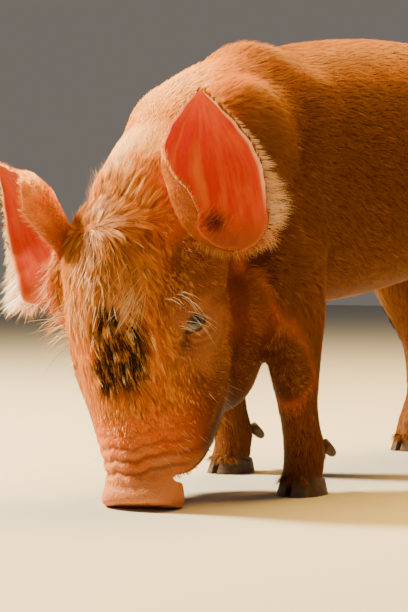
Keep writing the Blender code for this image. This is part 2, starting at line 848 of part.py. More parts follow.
def mouth_plate():
    """A thin bent plate across the muzzle, from under the disc to the mouth corners."""
    place = head_frame()
    rim = []
    for back, height in mouth_line:
        rim.append((back, height + 0.5 * mouth_gap))
    for back, height in reversed(mouth_line):
        rim.append((back, height - 0.5 * mouth_gap))
    shape = bmesh.new()
    sides = []
    for x in (-0.070, 0.070):
        sides.append([shape.verts.new(place @ Vector((x, back, height))) for back, height in rim])
    count = len(rim)
    for index in range(count):
        after = (index + 1) % count
        shape.faces.new((sides[0][index], sides[0][after], sides[1][after], sides[1][index]))
    for row in sides:
        shape.faces.new(row)
    bmesh.ops.triangulate(shape, faces=shape.faces)
    bmesh.ops.recalc_face_normals(shape, faces=shape.faces)
    return add_object("mouth", shape)


def nostrils(disc):
    place = disc_frame()
    for side in (1, -1):
        centre = place @ Vector((side * nostril_spacing, -0.001, 0.0005))
        turn = place.to_3x3().to_4x4() @ Matrix.Rotation(math.radians(side * 12), 4, "Z")
        disc = boolean(disc, ellipsoid("nostril", centre, nostril_radii, turn, 2))
    return disc


def claw(name, leg, half):
    """One horn claw: flat sole, flat inner wall, rounded outer wall and sloping toe."""
    sign = leg["side"] if half == "outer" else -leg["side"]
    slope = (coronet_back - coronet_front) / (claw_toe + claw_heel)
    rows = []
    for level in range(claw_levels + 1):
        t = level / claw_levels
        row = []
        for index in range(claw_sides):
            turn = 2.0 * math.pi * index / claw_sides
            along = -math.cos(turn)
            reach = claw_toe - claw_toe_slope * t if along < 0.0 else claw_heel - claw_heel_slope * t
            y = along * reach
            bow = max(0.0, 1.0 - abs(along) ** 2.4) ** 0.5
            if math.sin(turn) > 0.0:
                x = claw_cleft + claw_width * (0.30 + 0.70 * bow) * min(1.0, 0.30 + bow)
            else:
                x = claw_cleft + claw_hollow * (1.0 - bow)
            row.append(Vector((sign * x, y, t * (coronet_front + slope * (y + claw_toe)))))
        rows.append(row)
    turn = Matrix.Rotation(math.radians(leg["side"] * leg["turn"]), 4, "Z")
    place = Matrix.Translation((*leg["foot"], 0.0)) @ turn
    made = skin_rings(name, [[place @ point for point in row] for row in rows])
    triangulate(made)
    made.data.materials.append(material("hoof"))
    return made


def dewclaw(name, leg, half, host):
    sign = 1 if half == "outer" else -1
    sign *= leg["side"]
    turn = Matrix.Rotation(math.radians(leg["side"] * leg["turn"]), 4, "Z")
    place = Matrix.Translation((*leg["foot"], 0.0)) @ turn
    root = place @ Vector((sign * 0.0070, 0.0135, 0.0330))
    end = place @ Vector((sign * 0.0095, 0.0235, 0.0245))
    points = [root.lerp(end, t) for t in (0.0, 0.7, 0.92, 1.0)]
    radii = [dewclaw_radius * r for r in (1.0, 0.88, 0.6, 0.25)]
    made = tube(name, points, radii, sides=8)
    made = fit_against(made, host)
    made.name = name
    made.data.materials.clear()
    made.data.materials.append(material("hoof"))
    return made


def head_parting():
    """Plane between head and neck, behind the ears and jowls."""
    return slab("head_parting", (-0.004, -0.0853, 0.164), (0.0, -0.8966, -0.4429), (1, 0, 0),
                (0.11, 0.125))


def neck_parting():
    """Plane between neck and trunk, from the withers to the breast."""
    return slab("neck_parting", (0.0, -0.0510, 0.222), (0.0, -0.998, 0.058), (1, 0, 0),
                (0.11, 0.125))


def leg_parting(name):
    """Sloping plate through the top of a leg, lower on its inner side."""
    leg = legs[name]
    fore = name.startswith("fore")
    stations = foreleg_stations if fore else hindleg_stations
    near = min(stations, key=lambda row: abs(row[0] - leg["parting"]))
    centre = (leg["foot"][0] + leg["side"] * near[2], leg["foot"][1] + near[1],
              leg["parting"])
    lean = -0.45 if fore else -0.35
    return disc_plate(name + "_parting", centre, (lean * leg["side"], 0.0, 1.0),
                      0.034 if fore else 0.056)


def sort_pieces(made, places, reach=0.06):
    """Split an object and name each piece after the place that its centre is nearest to."""
    parts = loose_parts(made)
    remove(made)
    parts.sort(key=lambda part: abs(part.calc_volume()), reverse=True)
    found = {}
    for part in parts:
        middle = sum((v.co for v in part.verts), Vector()) / len(part.verts)
        name = min(places, key=lambda key: (places[key] - middle).length)
        if name not in found and (places[name] - middle).length < reach:
            found[name] = add_object(name, part, "coat")
        else:
            part.free()
    return found


def trunk_forms(lowest=0.0):
    """Trunk, neck, shoulders, hams, tail stub, and the legs down to a height."""
    forms = [trunk(), neck_form(), throat_form()]
    forms += [leg_form(name, lowest) for name in legs]
    forms += shoulders_and_hams()
    path = tail_path(tail_steps)[:tail_stub_steps + 4]
    forms.append(tube("tail_stub", [Vector(tail_root) + Vector((0, -0.02, 0.006))] + path,
                      [tail_radii[0] * 1.15] * (len(path) + 1)))
    return forms


def head_and_trunk_forms():
    """The flesh round the head, which hangs clear of the legs' lower parts."""
    return trunk_forms(leg_cut_height) + [head_form()] + face_forms()


def split_body():
    """Part the body into trunk, neck and legs with thin plates."""
    body = fuse_flesh(join("body", trunk_forms()), body_voxel, 9, 0.065)
    path = tail_path(tail_steps)
    along = path[tail_stub_steps + 1] - path[tail_stub_steps - 1]
    body = boolean(body, disc_plate("tail_parting", path[tail_stub_steps], along, 0.016))
    for name in legs:
        body = boolean(body, leg_parting(name))
    clean(body)
    places = {name: Vector((*leg["foot"], 0.075)) for name, leg in legs.items()}
    places["trunk"] = Vector((0.0, 0.06, 0.20))
    found = sort_pieces(body, places, 0.10)
    rest = boolean(found.pop("trunk"), head_parting())
    rest = boolean(rest, neck_parting())
    clean(rest)
    found.update(sort_pieces(rest, {"torso": Vector((0.0, 0.14, 0.21))}))
    front = fuse_flesh(join("front", head_and_trunk_forms()), body_voxel, 9, 0.065)
    front = boolean(front, head_parting())
    front = boolean(front, neck_parting())
    clean(front)
    found.update(sort_pieces(front, {"neck": Vector((0.0, -0.085, 0.20))}, 0.04))
    return found


def carve_head():
    """The head as one piece, with its sockets, lids, mouth and a parted snout disc."""
    head = join("head", head_and_trunk_forms() + [disc_form()])
    head = fuse_flesh(head, head_voxel, 7, 0.070)
    place = disc_frame()
    normal = place.to_3x3() @ Vector((0, 0, 1))
    centre = place @ Vector((0.0, 0.002, disc_part_height))
    head = boolean(head, head_parting())
    head = boolean(head, disc_plate("disc_parting", centre, normal, 0.034))
    clean(head)
    found = sort_pieces(head, {"head": head_frame() @ Vector((0.0, 0.03, 0.11)),
                               "snout_disc": centre - normal * 0.006}, 0.05)
    head = found["head"]
    disc = found["snout_disc"]
    plain = evaluated_copy(head, "plain_head")
    for side in ("left", "right"):
        centre, socket, opening = eye_parts(side)
        head = boolean(head, socket)
        head = boolean(head, opening)
    head = boolean(head, mouth_plate())
    keep_largest(head)
    clean(head)
    disc = nostrils(disc)
    bisect(disc, (0.0, 0.0, 0.0), (0.0, 0.0, 1.0))
    keep_largest(disc)
    clean(disc)
    head.name = "head"
    disc.name = "snout_disc"
    return head, disc, plain


def finish_legs(found):
    for name, leg in legs.items():
        made = found[name]
        turn = Matrix.Rotation(math.radians(leg["side"] * leg["turn"]), 4, "Z").to_3x3()
        slope = (coronet_back - coronet_front) / (claw_toe + claw_heel)
        normal = turn @ Vector((0.0, -slope, 1.0)).normalized()
        middle = coronet_front + slope * claw_toe
        bisect(made, Vector((*leg["foot"], middle + gap)), normal)
        keep_largest(made)
        clean(made)
        for half in ("outer", "inner"):
            claw(name + "_claw_" + half, leg, half)
            dewclaw(name + "_dewclaw_" + half, leg, half, made)


def tail_tuft(path):
    """A few thin locks round the tail's tip, trailing on along it."""
    draw = random.Random(lock_seed)
    ahead = (path[-1] - path[-3]).normalized()
    side = ahead.orthogonal().normalized()
    made = []
    for index in range(tail_locks):
        turn = Matrix.Rotation(2.0 * math.pi * index / tail_locks, 3, ahead)
        out = turn @ side
        root = path[-1] - ahead * (lock_root + tail_lock_step * index) + out * tail_lock_offset
        away = (ahead + out * draw.uniform(*tail_lock_spread)).normalized()
        made.append(lock("tail_lock", root, away, ahead.cross(out), tail_lock_length,
                         tail_lock_width * lock_width, out * tail_lock_bend))
    return made


def tail_node():
    whole = tail_path(tail_steps)
    path = whole[tail_stub_steps:]
    ahead = (whole[tail_stub_steps + 1] - whole[tail_stub_steps - 1]).normalized()
    path[0] = path[0] + ahead * gap
    path = [path[0]] + path[2::2]
    count = len(path) - 1
    radii = [tail_radii[0] + (tail_radii[1] - tail_radii[0]) * (index / count) ** 0.8
             for index in range(count + 1)]
    made = tube("tail", path, radii, sides=9)
    triangulate(made)
    made = union_all(made, tail_tuft(path), "tail_group")
    keep_largest(made)
    clean(made, fine_merge)
    made.name = "tail"
    made.data.materials.clear()
    made.data.materials.append(material("coat"))
    return made


def settle():
    """Move the centre of the footprint to the origin, the soles at zero."""
    solids = [made for made in bpy.data.objects if made.type == "MESH"]
    corners = [made.matrix_world @ vert.co for made in solids for vert in made.data.vertices]
    middle_x = 0.5 * (min(c.x for c in corners) + max(c.x for c in corners))
    middle_y = 0.5 * (min(c.y for c in corners) + max(c.y for c in corners))
    for made in solids:
        made.data.transform(Matrix.Translation((-middle_x, -middle_y, 0.0)))


def main():
    clear_scene()
    found = split_body()
    finish_legs(found)
    head, disc, plain = carve_head()
    for side in ("left", "right"):
        eyeball(side)
        made = ear_node(side, plain)
        made.data.materials.clear()
        made.data.materials.append(material("ear"))
    for made, finish in ((head, "face"), (disc, "snout")):
        made.data.materials.clear()
        made.data.materials.append(material(finish))
    remove(plain)
    tail_node()
    settle()
    for made in bpy.data.objects:
        made.data.shade_smooth()
        made.data.set_sharp_from_angle(angle=math.radians(40))


main()
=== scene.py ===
import math
import random

import bmesh
import bpy
import numpy as np
from mathutils import Matrix, Vector
from mathutils.bvhtree import BVHTree
from mathutils.kdtree import KDTree


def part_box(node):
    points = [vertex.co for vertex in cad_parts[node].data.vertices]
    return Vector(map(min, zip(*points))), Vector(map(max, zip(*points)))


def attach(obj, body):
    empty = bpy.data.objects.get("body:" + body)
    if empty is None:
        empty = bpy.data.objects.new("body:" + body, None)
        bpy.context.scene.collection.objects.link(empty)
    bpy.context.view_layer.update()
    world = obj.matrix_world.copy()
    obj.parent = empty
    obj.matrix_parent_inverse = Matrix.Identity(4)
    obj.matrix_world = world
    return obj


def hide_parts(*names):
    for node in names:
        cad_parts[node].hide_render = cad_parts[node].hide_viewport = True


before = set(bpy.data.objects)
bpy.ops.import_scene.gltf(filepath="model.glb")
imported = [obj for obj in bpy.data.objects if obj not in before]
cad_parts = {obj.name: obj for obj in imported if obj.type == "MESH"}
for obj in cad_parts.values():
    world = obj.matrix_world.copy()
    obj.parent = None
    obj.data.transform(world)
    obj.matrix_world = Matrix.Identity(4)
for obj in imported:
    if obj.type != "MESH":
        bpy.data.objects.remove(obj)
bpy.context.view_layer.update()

# Everything is modelled from the floor point midway between the forefeet, facing -Y,
# and moved by one offset onto the frame at the end

headPlace = {"origin": (0.021, -0.154, 0.0), "yaw": 13.0, "roll": 8.5}
eyes = {
    "radius": 0.0095,
    "place": (0.0372, 0.0250, 0.1100),
    "axis": (0.80, -0.60, 0.06),
    "lid": 0.0021,
    "length": 0.0180,
    "height": 0.0112,
    "slant": 34.0,
    "duct": 0.22,
}


def headFrame():
    yaw = Matrix.Rotation(math.radians(headPlace["yaw"]), 4, "Z")
    roll = Matrix.Rotation(math.radians(-headPlace["roll"]), 4, "Y")
    return Matrix.Translation(headPlace["origin"]) @ yaw @ roll


def signOf(side):
    return 1.0 if side == "left" else -1.0


def headPoint(side, place):
    return headFrame() @ Vector((signOf(side) * place[0], place[1], place[2]))


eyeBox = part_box("eye_left")
eyeMiddle = (Vector(eyeBox[0]) + Vector(eyeBox[1])) * 0.5
moved = eyeMiddle - headPoint("left", eyes["place"])
toFrame = Matrix.Translation(moved)

camera = {
    "place": (0.7563, -0.9710, 0.1483),
    "down": 1.17,
    "turn": 40.0,
    "focalPixels": 1766.0,
    "pixelsHigh": 612.0,
    "sensor": 36.0,
}


def addCamera():
    data = bpy.data.cameras.new("camera")
    data.sensor_width = camera["sensor"]
    data.lens = camera["sensor"] * camera["focalPixels"] / camera["pixelsHigh"]
    made = bpy.data.objects.new("camera", data)
    made.location = Vector(camera["place"]) + moved
    tilt = math.radians(90.0 - camera["down"])
    made.rotation_euler = (tilt, 0.0, math.radians(camera["turn"]))
    bpy.context.scene.collection.objects.link(made)
    bpy.context.scene.camera = made


addCamera()
print("camera set")


# Mesh helpers

def addObject(name, mesh):
    made = bpy.data.objects.new(name, mesh)
    bpy.context.scene.collection.objects.link(made)
    return made


def objectFromBmesh(name, shape):
    mesh = bpy.data.meshes.new(name)
    shape.to_mesh(mesh)
    shape.free()
    return addObject(name, mesh)


def removeObject(made):
    mesh = made.data
    bpy.data.objects.remove(made, do_unlink=True)
    if mesh.users == 0:
        bpy.data.meshes.remove(mesh)


def applyModifiers(made):
    bpy.context.view_layer.update()
    graph = bpy.context.evaluated_depsgraph_get()
    mesh = bpy.data.meshes.new_from_object(made.evaluated_get(graph))
    made.modifiers.clear()
    old = made.data
    made.data = mesh
    bpy.data.meshes.remove(old)
    return made


def superRing(centre, right, up, halfWidth, reachUp, reachDown, power=2.0, narrowing=0.0, sides=32):
    points = []
    for index in range(sides):
        angle = 2.0 * math.pi * index / sides
        across = math.copysign(abs(math.cos(angle)) ** (2.0 / power), math.cos(angle))
        along = math.copysign(abs(math.sin(angle)) ** (2.0 / power), math.sin(angle))
        width = halfWidth * (1.0 - narrowing * max(0.0, -along) ** 1.1)
        reach = reachUp if along > 0.0 else reachDown
        points.append(centre + right * (across * width) + up * (along * reach))
    return points


def loft(name, rings):
    shape = bmesh.new()
    rows = [[shape.verts.new(point) for point in row] for row in rings]
    count = len(rows[0])
    for lower, upper in zip(rows, rows[1:]):
        for index in range(count):
            after = (index + 1) % count
            shape.faces.new((lower[index], lower[after], upper[after], upper[index]))
    for row in (rows[0], rows[-1]):
        middle = shape.verts.new(sum((v.co for v in row), Vector()) / count)
        for index in range(count):
            shape.faces.new((row[index], row[(index + 1) % count], middle))
    bmesh.ops.recalc_face_normals(shape, faces=shape.faces)
    return objectFromBmesh(name, shape)


def smoothStations(stations, steps):
    filled = []
    last = len(stations) - 1
    for index in range(last):
        before = stations[max(index - 1, 0)]
        start = stations[index]
        end = stations[index + 1]
        after = stations[min(index + 2, last)]
        for step in range(steps):
            t = step / steps
            filled.append(tuple(
                0.5 * (2.0 * b + (c - a) * t + (2.0 * a - 5.0 * b + 4.0 * c - d) * t * t
                       + (3.0 * b - a - 3.0 * c + d) * t ** 3)
                for a, b, c, d in zip(before, start, end, after)))
    filled.append(tuple(stations[-1]))
    return filled


def ellipsoid(name, centre, radii, turn=None, fineness=4):
    shape = bmesh.new()
    bmesh.ops.create_icosphere(shape, subdivisions=fineness, radius=1.0)
    place = Matrix.Translation(centre) @ (turn or Matrix.Identity(4))
    bmesh.ops.transform(shape, verts=shape.verts, matrix=place @ Matrix.Diagonal((*radii, 1.0)))
    return objectFromBmesh(name, shape)


def tube(name, points, radii, sides=16):
    rings = []
    reference = Vector((1, 0, 0))
    for index, point in enumerate(points):
        ahead = points[min(index + 1, len(points) - 1)] - points[max(index - 1, 0)]
        ahead.normalize()
        reference = (reference - ahead * reference.dot(ahead)).normalized()
        up = reference.cross(ahead)
        rings.append(superRing(point, reference, up, radii[index], radii[index], radii[index],
                               sides=sides))
    return loft(name, rings)


def joinForms(name, forms):
    shape = bmesh.new()
    for form in forms:
        shape.from_mesh(form.data)
        removeObject(form)
    return objectFromBmesh(name, shape)


def smoothStep(low, high, value):
    t = np.clip((value - low) / (high - low), 0.0, 1.0)
    return t * t * (3.0 - 2.0 * t)


def meshArrays(mesh):
    count = len(mesh.vertices)
    places = np.empty(count * 3, dtype=np.float64)
    normals = np.empty(count * 3, dtype=np.float64)
    mesh.vertices.foreach_get("co", places)
    mesh.vertex_normals.foreach_get("vector", normals)
    mesh.calc_loop_triangles()
    corners = np.empty(len(mesh.loop_triangles) * 3, dtype=np.int32)
    mesh.loop_triangles.foreach_get("vertices", corners)
    return places.reshape(-1, 3), normals.reshape(-1, 3), corners.reshape(-1, 3)


def meshFromArrays(name, places, triangles):
    mesh = bpy.data.meshes.new(name)
    mesh.vertices.add(len(places))
    mesh.vertices.foreach_set("co", np.asarray(places, dtype=np.float32).ravel())
    mesh.loops.add(len(triangles) * 3)
    mesh.loops.foreach_set("vertex_index", np.asarray(triangles, dtype=np.int32).ravel())
    mesh.polygons.add(len(triangles))
    mesh.polygons.foreach_set("loop_start", np.arange(0, len(triangles) * 3, 3, dtype=np.int32))
    mesh.update(calc_edges=True)
    return mesh


def moveVertices(mesh, places):
    mesh.vertices.foreach_set("co", places.astype(np.float32).ravel())
    mesh.update()


def addValues(mesh, name, values):
    layer = mesh.attributes.new(name, "FLOAT", "POINT")
    layer.data.foreach_set("value", np.asarray(values, dtype=np.float32).ravel())


toHead = np.array(headFrame().inverted())
fromHead = np.array(headFrame())


def headLocal(points):
    return points @ toHead[:3, :3].T + toHead[:3, 3]


def headDirection(vectors):
    return vectors @ fromHead[:3, :3].T


# The flesh under the coat

trunk = {
    "stations": (      # along Y, half width, back, belly, widest level
        (-0.078, 0.030, 0.262, 0.165, 0.214),
        (-0.060, 0.048, 0.285, 0.142, 0.214),
        (-0.036, 0.058, 0.303, 0.129, 0.212),
        (-0.006, 0.064, 0.303, 0.123, 0.210),
        (0.037, 0.071, 0.311, 0.123, 0.208),
        (0.086, 0.077, 0.318, 0.128, 0.210),
        (0.130, 0.079, 0.321, 0.135, 0.214),
        (0.176, 0.077, 0.321, 0.146, 0.222),
        (0.220, 0.072, 0.318, 0.160, 0.232),
        (0.262, 0.065, 0.308, 0.170, 0.236),
        (0.298, 0.053, 0.290, 0.180, 0.232),
        (0.322, 0.036, 0.268, 0.196, 0.230),
        (0.333, 0.016, 0.248, 0.216, 0.231),
    ),
    "power": 2.15,
}


def trunkForm():
    rings = []
    for y, width, top, bottom, level in smoothStations(trunk["stations"], 4):
        rings.append(superRing(Vector((0.0, y, level)), Vector((1, 0, 0)), Vector((0, 0, 1)),
                               width, top - level, level - bottom, trunk["power"]))
    return loft("trunkForm", rings)


neck = {
    "stations": (      # centre, pitch, half width, reach up, reach down
        (0.000, -0.020, 0.213, 5, 0.058, 0.086, 0.086),
        (-0.002, -0.052, 0.204, 20, 0.056, 0.082, 0.079),
        (-0.005, -0.080, 0.186, 38, 0.053, 0.071, 0.070),
        (-0.006, -0.105, 0.160, 58, 0.048, 0.060, 0.052),
        (-0.006, -0.120, 0.140, 72, 0.040, 0.040, 0.040),
    ),
    "power": 2.15,
    "throatPlace": (0.000, -0.060, 0.108),
    "throatRadii": (0.029, 0.056, 0.034),
    "throatSlope": 45.0,
    "foldPlace": (0.036, -0.060, 0.124),
    "foldRadii": (0.020, 0.026, 0.036),
}


def neckForms():
    rings = []
    for x, y, z, pitch, width, up, down in smoothStations(neck["stations"], 4):
        turn = math.radians(pitch)
        upward = Vector((0.0, -math.sin(turn), math.cos(turn)))
        rings.append(superRing(Vector((x, y, z)), Vector((1, 0, 0)), upward, width, up, down,
                               neck["power"]))
    slope = Matrix.Rotation(math.radians(neck["throatSlope"]), 4, "X")
    throat = ellipsoid("throatForm", neck["throatPlace"], neck["throatRadii"], slope)
    fold = ellipsoid("foldForm", neck["foldPlace"], neck["foldRadii"])
    return [loft("neckForm", rings), throat, fold]


head = {
    "stations": (      # height, half width, front line, back line, squareness
        (0.0175, 0.0285, -0.0195, 0.0340, 2.3),
        (0.0250, 0.0325, -0.0185, 0.0530, 2.4),
        (0.0450, 0.0405, -0.0180, 0.0695, 2.5),
        (0.0660, 0.0465, -0.0175, 0.0830, 2.6),
        (0.0900, 0.0520, -0.0180, 0.0900, 2.7),
        (0.1120, 0.0540, -0.0205, 0.0890, 2.7),
        (0.1350, 0.0550, -0.0225, 0.0880, 2.6),
        (0.1580, 0.0535, -0.0205, 0.0820, 2.4),
        (0.1760, 0.0470, -0.0140, 0.0740, 2.3),
        (0.1890, 0.0360, -0.0030, 0.0600, 2.2),
        (0.1970, 0.0190, 0.0120, 0.0440, 2.0),
    ),
    "narrowing": 0.45,
    "jowlPlace": (0.0315, 0.068, 0.090),
    "jowlRadii": (0.023, 0.038, 0.040),
    "mouthLine": ((0.0080, 0.0180), (0.0250, 0.0235), (0.0400, 0.0330),
                  (0.0520, 0.0440), (0.0600, 0.0500)),
    "mouthGap": 0.0013,
    "mouthReach": 0.070,
}
ears = {
    "left": {"root": (0.065, 0.021, 0.163), "tip": (-0.13, -0.02, 0.985),
             "across": (0.52, 0.83, 0.09), "length": 0.102, "base": (0.042, 0.040, 0.160),
             "lobe": (0.046, 0.031, 0.146), "roll": (1.22, 1.02), "rear": 1.0, "front": 1.0,
             "taper": (0.00, 0.34, 0.75)},
    "right": {"root": (-0.0532, 0.031, 0.159), "tip": (-0.602, -0.130, 0.826),
              "across": (-0.404, 0.413, -0.727), "length": 0.0985, "base": (-0.042, 0.034, 0.164),
              "lobe": (-0.044, 0.026, 0.147), "roll": (0.97, 0.97), "rear": 1.19, "front": 1.72,
              "taper": (0.00, 0.22, 1.00)},
    "baseRadii": (0.017, 0.020, 0.024),
    "lobeRadii": (0.014, 0.024, 0.032),
    "profile": (       # share of the length, half width, shaping, rear and front angles
        (0.00, 0.0200, 112, 118, 76),
        (0.10, 0.0240, 104, 110, 86),
        (0.22, 0.0280, 90, 96, 104),
        (0.36, 0.0300, 74, 79, 112),
        (0.50, 0.0310, 62, 65, 98),
        (0.64, 0.0280, 54, 56, 80),
        (0.78, 0.0205, 48, 49, 64),
        (0.90, 0.0115, 42, 42, 50),
        (1.00, 0.0026, 36, 36, 38),
    ),
    "cap": 0.21,
    "capDepth": 0.50,
    "capShift": 0.013,
    "pit": (0.205, 0.08, 0.0056, 0.0110),
    "sink": 0.012,
    "rollFrom": 0.20,
    "rollOver": 0.25,
    "frontPeak": 1.15,
    "crowding": 1.12,
    "columns": 60,
    "rows": 64,
    "thick": (0.0026, 0.0011),
    "ridges": (        # curl, width, rise, from, to
        (-0.52, 0.105, 0.0026, 0.16, 0.93),
        (-0.10, 0.085, 0.0024, 0.16, 0.90),
        (0.30, 0.080, 0.0016, 0.14, 0.74),
        (0.62, 0.070, 0.0009, 0.12, 0.55),
    ),
}


def stackedForm(name, place, stations, narrowing=0.0, power=None):
    # rings one above another, each between its own front and back lines
    turn = place.to_3x3()
    rings = []
    for height, width, front, back, *own in smoothStations(stations, 4):
        middle = 0.5 * (front + back)
        reach = 0.5 * (back - front)
        rings.append(superRing(place @ Vector((0.0, middle, height)), turn @ Vector((1, 0, 0)),
                               turn @ Vector((0, 1, 0)), width, reach, reach,
                               own[0] if own else power, narrowing))
    return loft(name, rings)


def headForms():
    place = headFrame()
    forms = [stackedForm("headForm", place, head["stations"], head["narrowing"])]
    lid = eyes["radius"] + eyes["lid"]
    for side in ("left", "right"):
        forms.append(ellipsoid("jowlForm", headPoint(side, head["jowlPlace"]), head["jowlRadii"]))
        forms.append(ellipsoid("lidForm", headPoint(side, eyes["place"]), (lid, lid, lid)))
        for spot, radii in ((ears[side]["base"], ears["baseRadii"]),
                            (ears[side]["lobe"], ears["lobeRadii"])):
            forms.append(ellipsoid("earBaseForm", place @ Vector(spot), radii))
    return forms


disc = {
    "stations": (      # height, half width, front line, back line
        (0.0000, 0.0240, -0.0190, 0.0180),
        (0.0018, 0.0264, -0.0215, 0.0203),
        (0.0065, 0.0272, -0.0222, 0.0212),
        (0.0105, 0.0262, -0.0208, 0.0206),
        (0.0170, 0.0250, -0.0190, 0.0200),
    ),
    "power": 2.25,
    "tilt": 13.0,
    "level": -5.0,
    "nostrilSpacing": 0.0100,
    "nostrilRadii": (0.0038, 0.0050, 0.0085),
    "nostrilTurn": 12.0,
}


def discFrame():
    tilt = Matrix.Rotation(math.radians(-disc["tilt"]), 4, "X")
    level = Matrix.Rotation(math.radians(-disc["level"]), 4, "Y")
    return headFrame() @ level @ tilt


def discForm():
    return stackedForm("discForm", discFrame(), disc["stations"], power=disc["power"])


legs = {
    "foreStations": (   # height, fore-and-aft centre, sideways centre, half width, half depth
        (0.232, 0.016, -0.030, 0.0200, 0.0320),
        (0.200, 0.010, -0.024, 0.0210, 0.0330),
        (0.168, 0.004, -0.016, 0.0210, 0.0300),
        (0.145, -0.001, -0.009, 0.0200, 0.0265),
        (0.120, -0.006, -0.003, 0.0182, 0.0235),
        (0.096, -0.008, -0.001, 0.0170, 0.0208),
        (0.078, -0.009, 0.000, 0.0160, 0.0182),
        (0.062, -0.007, 0.000, 0.0142, 0.0156),
        (0.046, -0.003, 0.000, 0.0134, 0.0146),
        (0.031, 0.001, 0.000, 0.0146, 0.0158),
        (0.020, 0.000, 0.000, 0.0142, 0.0150),
        (0.006, -0.003, 0.000, 0.0140, 0.0150),
    ),
    "hindStations": (
        (0.245, 0.004, -0.012, 0.0260, 0.0500),
        (0.205, 0.002, -0.006, 0.0320, 0.0540),
        (0.168, -0.004, -0.002, 0.0300, 0.0500),
        (0.138, -0.005, 0.000, 0.0250, 0.0420),
        (0.112, 0.003, 0.001, 0.0200, 0.0300),
        (0.090, 0.014, 0.001, 0.0165, 0.0215),
        (0.073, 0.018, 0.000, 0.0160, 0.0205),
        (0.055, 0.014, 0.000, 0.0136, 0.0150),
        (0.044, 0.012, 0.000, 0.0130, 0.0142),
        (0.031, 0.007, 0.000, 0.0145, 0.0158),
        (0.020, 0.001, 0.000, 0.0142, 0.0150),
        (0.006, -0.004, 0.000, 0.0140, 0.0150),
    ),
    "feet": {
        "foreleg_left": {"foot": (0.058, -0.0365), "turn": 4, "side": 1},
        "foreleg_right": {"foot": (-0.060, 0.0345), "turn": 3, "side": -1},
        "hindleg_left": {"foot": (0.048, 0.284), "turn": 5, "side": 1},
        "hindleg_right": {"foot": (-0.048, 0.256), "turn": 5, "side": -1},
    },
    "power": 2.2,
}


def legForm(name):
    leg = legs["feet"][name]
    stations = legs["foreStations"] if name.startswith("fore") else legs["hindStations"]
    rings = []
    for height, back, inward, width, depth in smoothStations(stations, 4):
        centre = Vector((leg["foot"][0] + leg["side"] * inward, leg["foot"][1] + back, height))
        rings.append(superRing(centre, Vector((1, 0, 0)), Vector((0, 1, 0)), width, depth, depth,
                               legs["power"]))
    return loft(name + "Form", rings)


bulges = {
    "shoulder": ((0.040, -0.004, 0.215), (0.024, 0.044, 0.072), -14.0),
    "crest": ((0.027, -0.062, 0.226), (0.034, 0.048, 0.050), 28.0),
    "ham": ((0.040, 0.268, 0.222), (0.034, 0.056, 0.062), 0.0),
    "foreFollow": 0.35,      # how far a bulge follows its foot along Y
    "hindFollow": 0.4,
    "hindStance": 0.27,
}


def shoulderAndHamForms():
    forms = []
    for side, hand in ((1, "left"), (-1, "right")):
        foreY = bulges["foreFollow"] * legs["feet"]["foreleg_" + hand]["foot"][1]
        hindFoot = legs["feet"]["hindleg_" + hand]["foot"][1]
        hindY = bulges["hindFollow"] * (hindFoot - bulges["hindStance"])
        for name, follow in (("shoulder", foreY), ("crest", 0.0), ("ham", hindY)):
            (x, y, z), radii, turn = bulges[name]
            forms.append(ellipsoid(name + "Form", (side * x, y + follow, z), radii,
                                   Matrix.Rotation(math.radians(turn), 4, "X")))
    return forms


tail = {
    "root": (0.0, 0.326, 0.262),
    "radii": (0.0072, 0.0022),
    "reach": 0.046,
    "drop": 0.105,
    "curl": 0.017,
    "turns": 1.25,
    "curlFrom": 0.22,        # shares of the tail's length
    "curlOver": 0.78,
    "growFrom": 0.16,
    "growOver": 0.3,
    "reachBy": 0.42,
    "dropFrom": 0.05,
    "steps": 41,
    "stub": 5,
}


def tailPath(steps):
    points = []
    for index in range(steps + 1):
        t = index / steps
        turn = 2.0 * math.pi * tail["turns"] * max(t - tail["curlFrom"], 0.0) / tail["curlOver"]
        grow = tail["curl"] * min(1.0, max(t - tail["growFrom"], 0.0) / tail["growOver"])
        side = grow * math.sin(turn)
        away = tail["reach"] * math.sin(0.5 * math.pi * min(t / tail["reachBy"], 1.0))
        away += grow * (1.0 - math.cos(turn)) * 0.9
        fall = tail["drop"] * max(t - tail["dropFrom"], 0.0) ** 1.5
        points.append(Vector(tail["root"]) + Vector((side, away, -fall)))
    return points


def tailForms():
    path = tailPath(tail["steps"])
    stub = path[:tail["stub"] + 4]
    wide = tail["radii"][0]
    free = path[tail["stub"]:]
    last = len(free) - 1
    radii = [wide + (tail["radii"][1] - wide) * (index / last) ** 0.8 for index in range(last + 1)]
    inside = [Vector(tail["root"]) + Vector((0, -0.02, 0.006))]
    return [tube("tailStub", inside + stub, [wide * 1.15] * (len(stub) + 1)),
            tube("tailForm", free, radii)]


skinPlan = {
    "voxel": 0.0013,
    "softenAll": 20,
    "softenBody": 36,
    "softenTrunk": 260,
    "triangles": 180000,
    "bodyInset": 0.0016,
    "headInset": 0.0009,
}


headEnd = {
    "place": (-0.004, -0.0853, 0.164),
    "facing": (0.0, -0.8966, -0.4429),
    "blend": 0.008,
    "across": (0.075, 0.095),
    "jowlBack": 0.066,       # the line behind the jowls and its slope up the head
    "jowlLevel": 0.025,
    "jowlSlope": 0.55,
    "jowlBlend": 0.012,
}


def headShare(points):
    # 1 on the head, 0 on the body, blended over 16 mm behind the ears
    reach = (points - np.array(headEnd["place"])) @ np.array(headEnd["facing"])
    inward = 1.0 - smoothStep(*headEnd["across"], np.abs(points[:, 0]))
    local = headLocal(points)
    behind = local[:, 1] - headEnd["jowlBack"]
    behind = behind - headEnd["jowlSlope"] * (local[:, 2] - headEnd["jowlLevel"])
    ahead = smoothStep(-headEnd["blend"], headEnd["blend"], reach)
    return ahead * inward * smoothStep(headEnd["jowlBlend"], 0.0, behind)


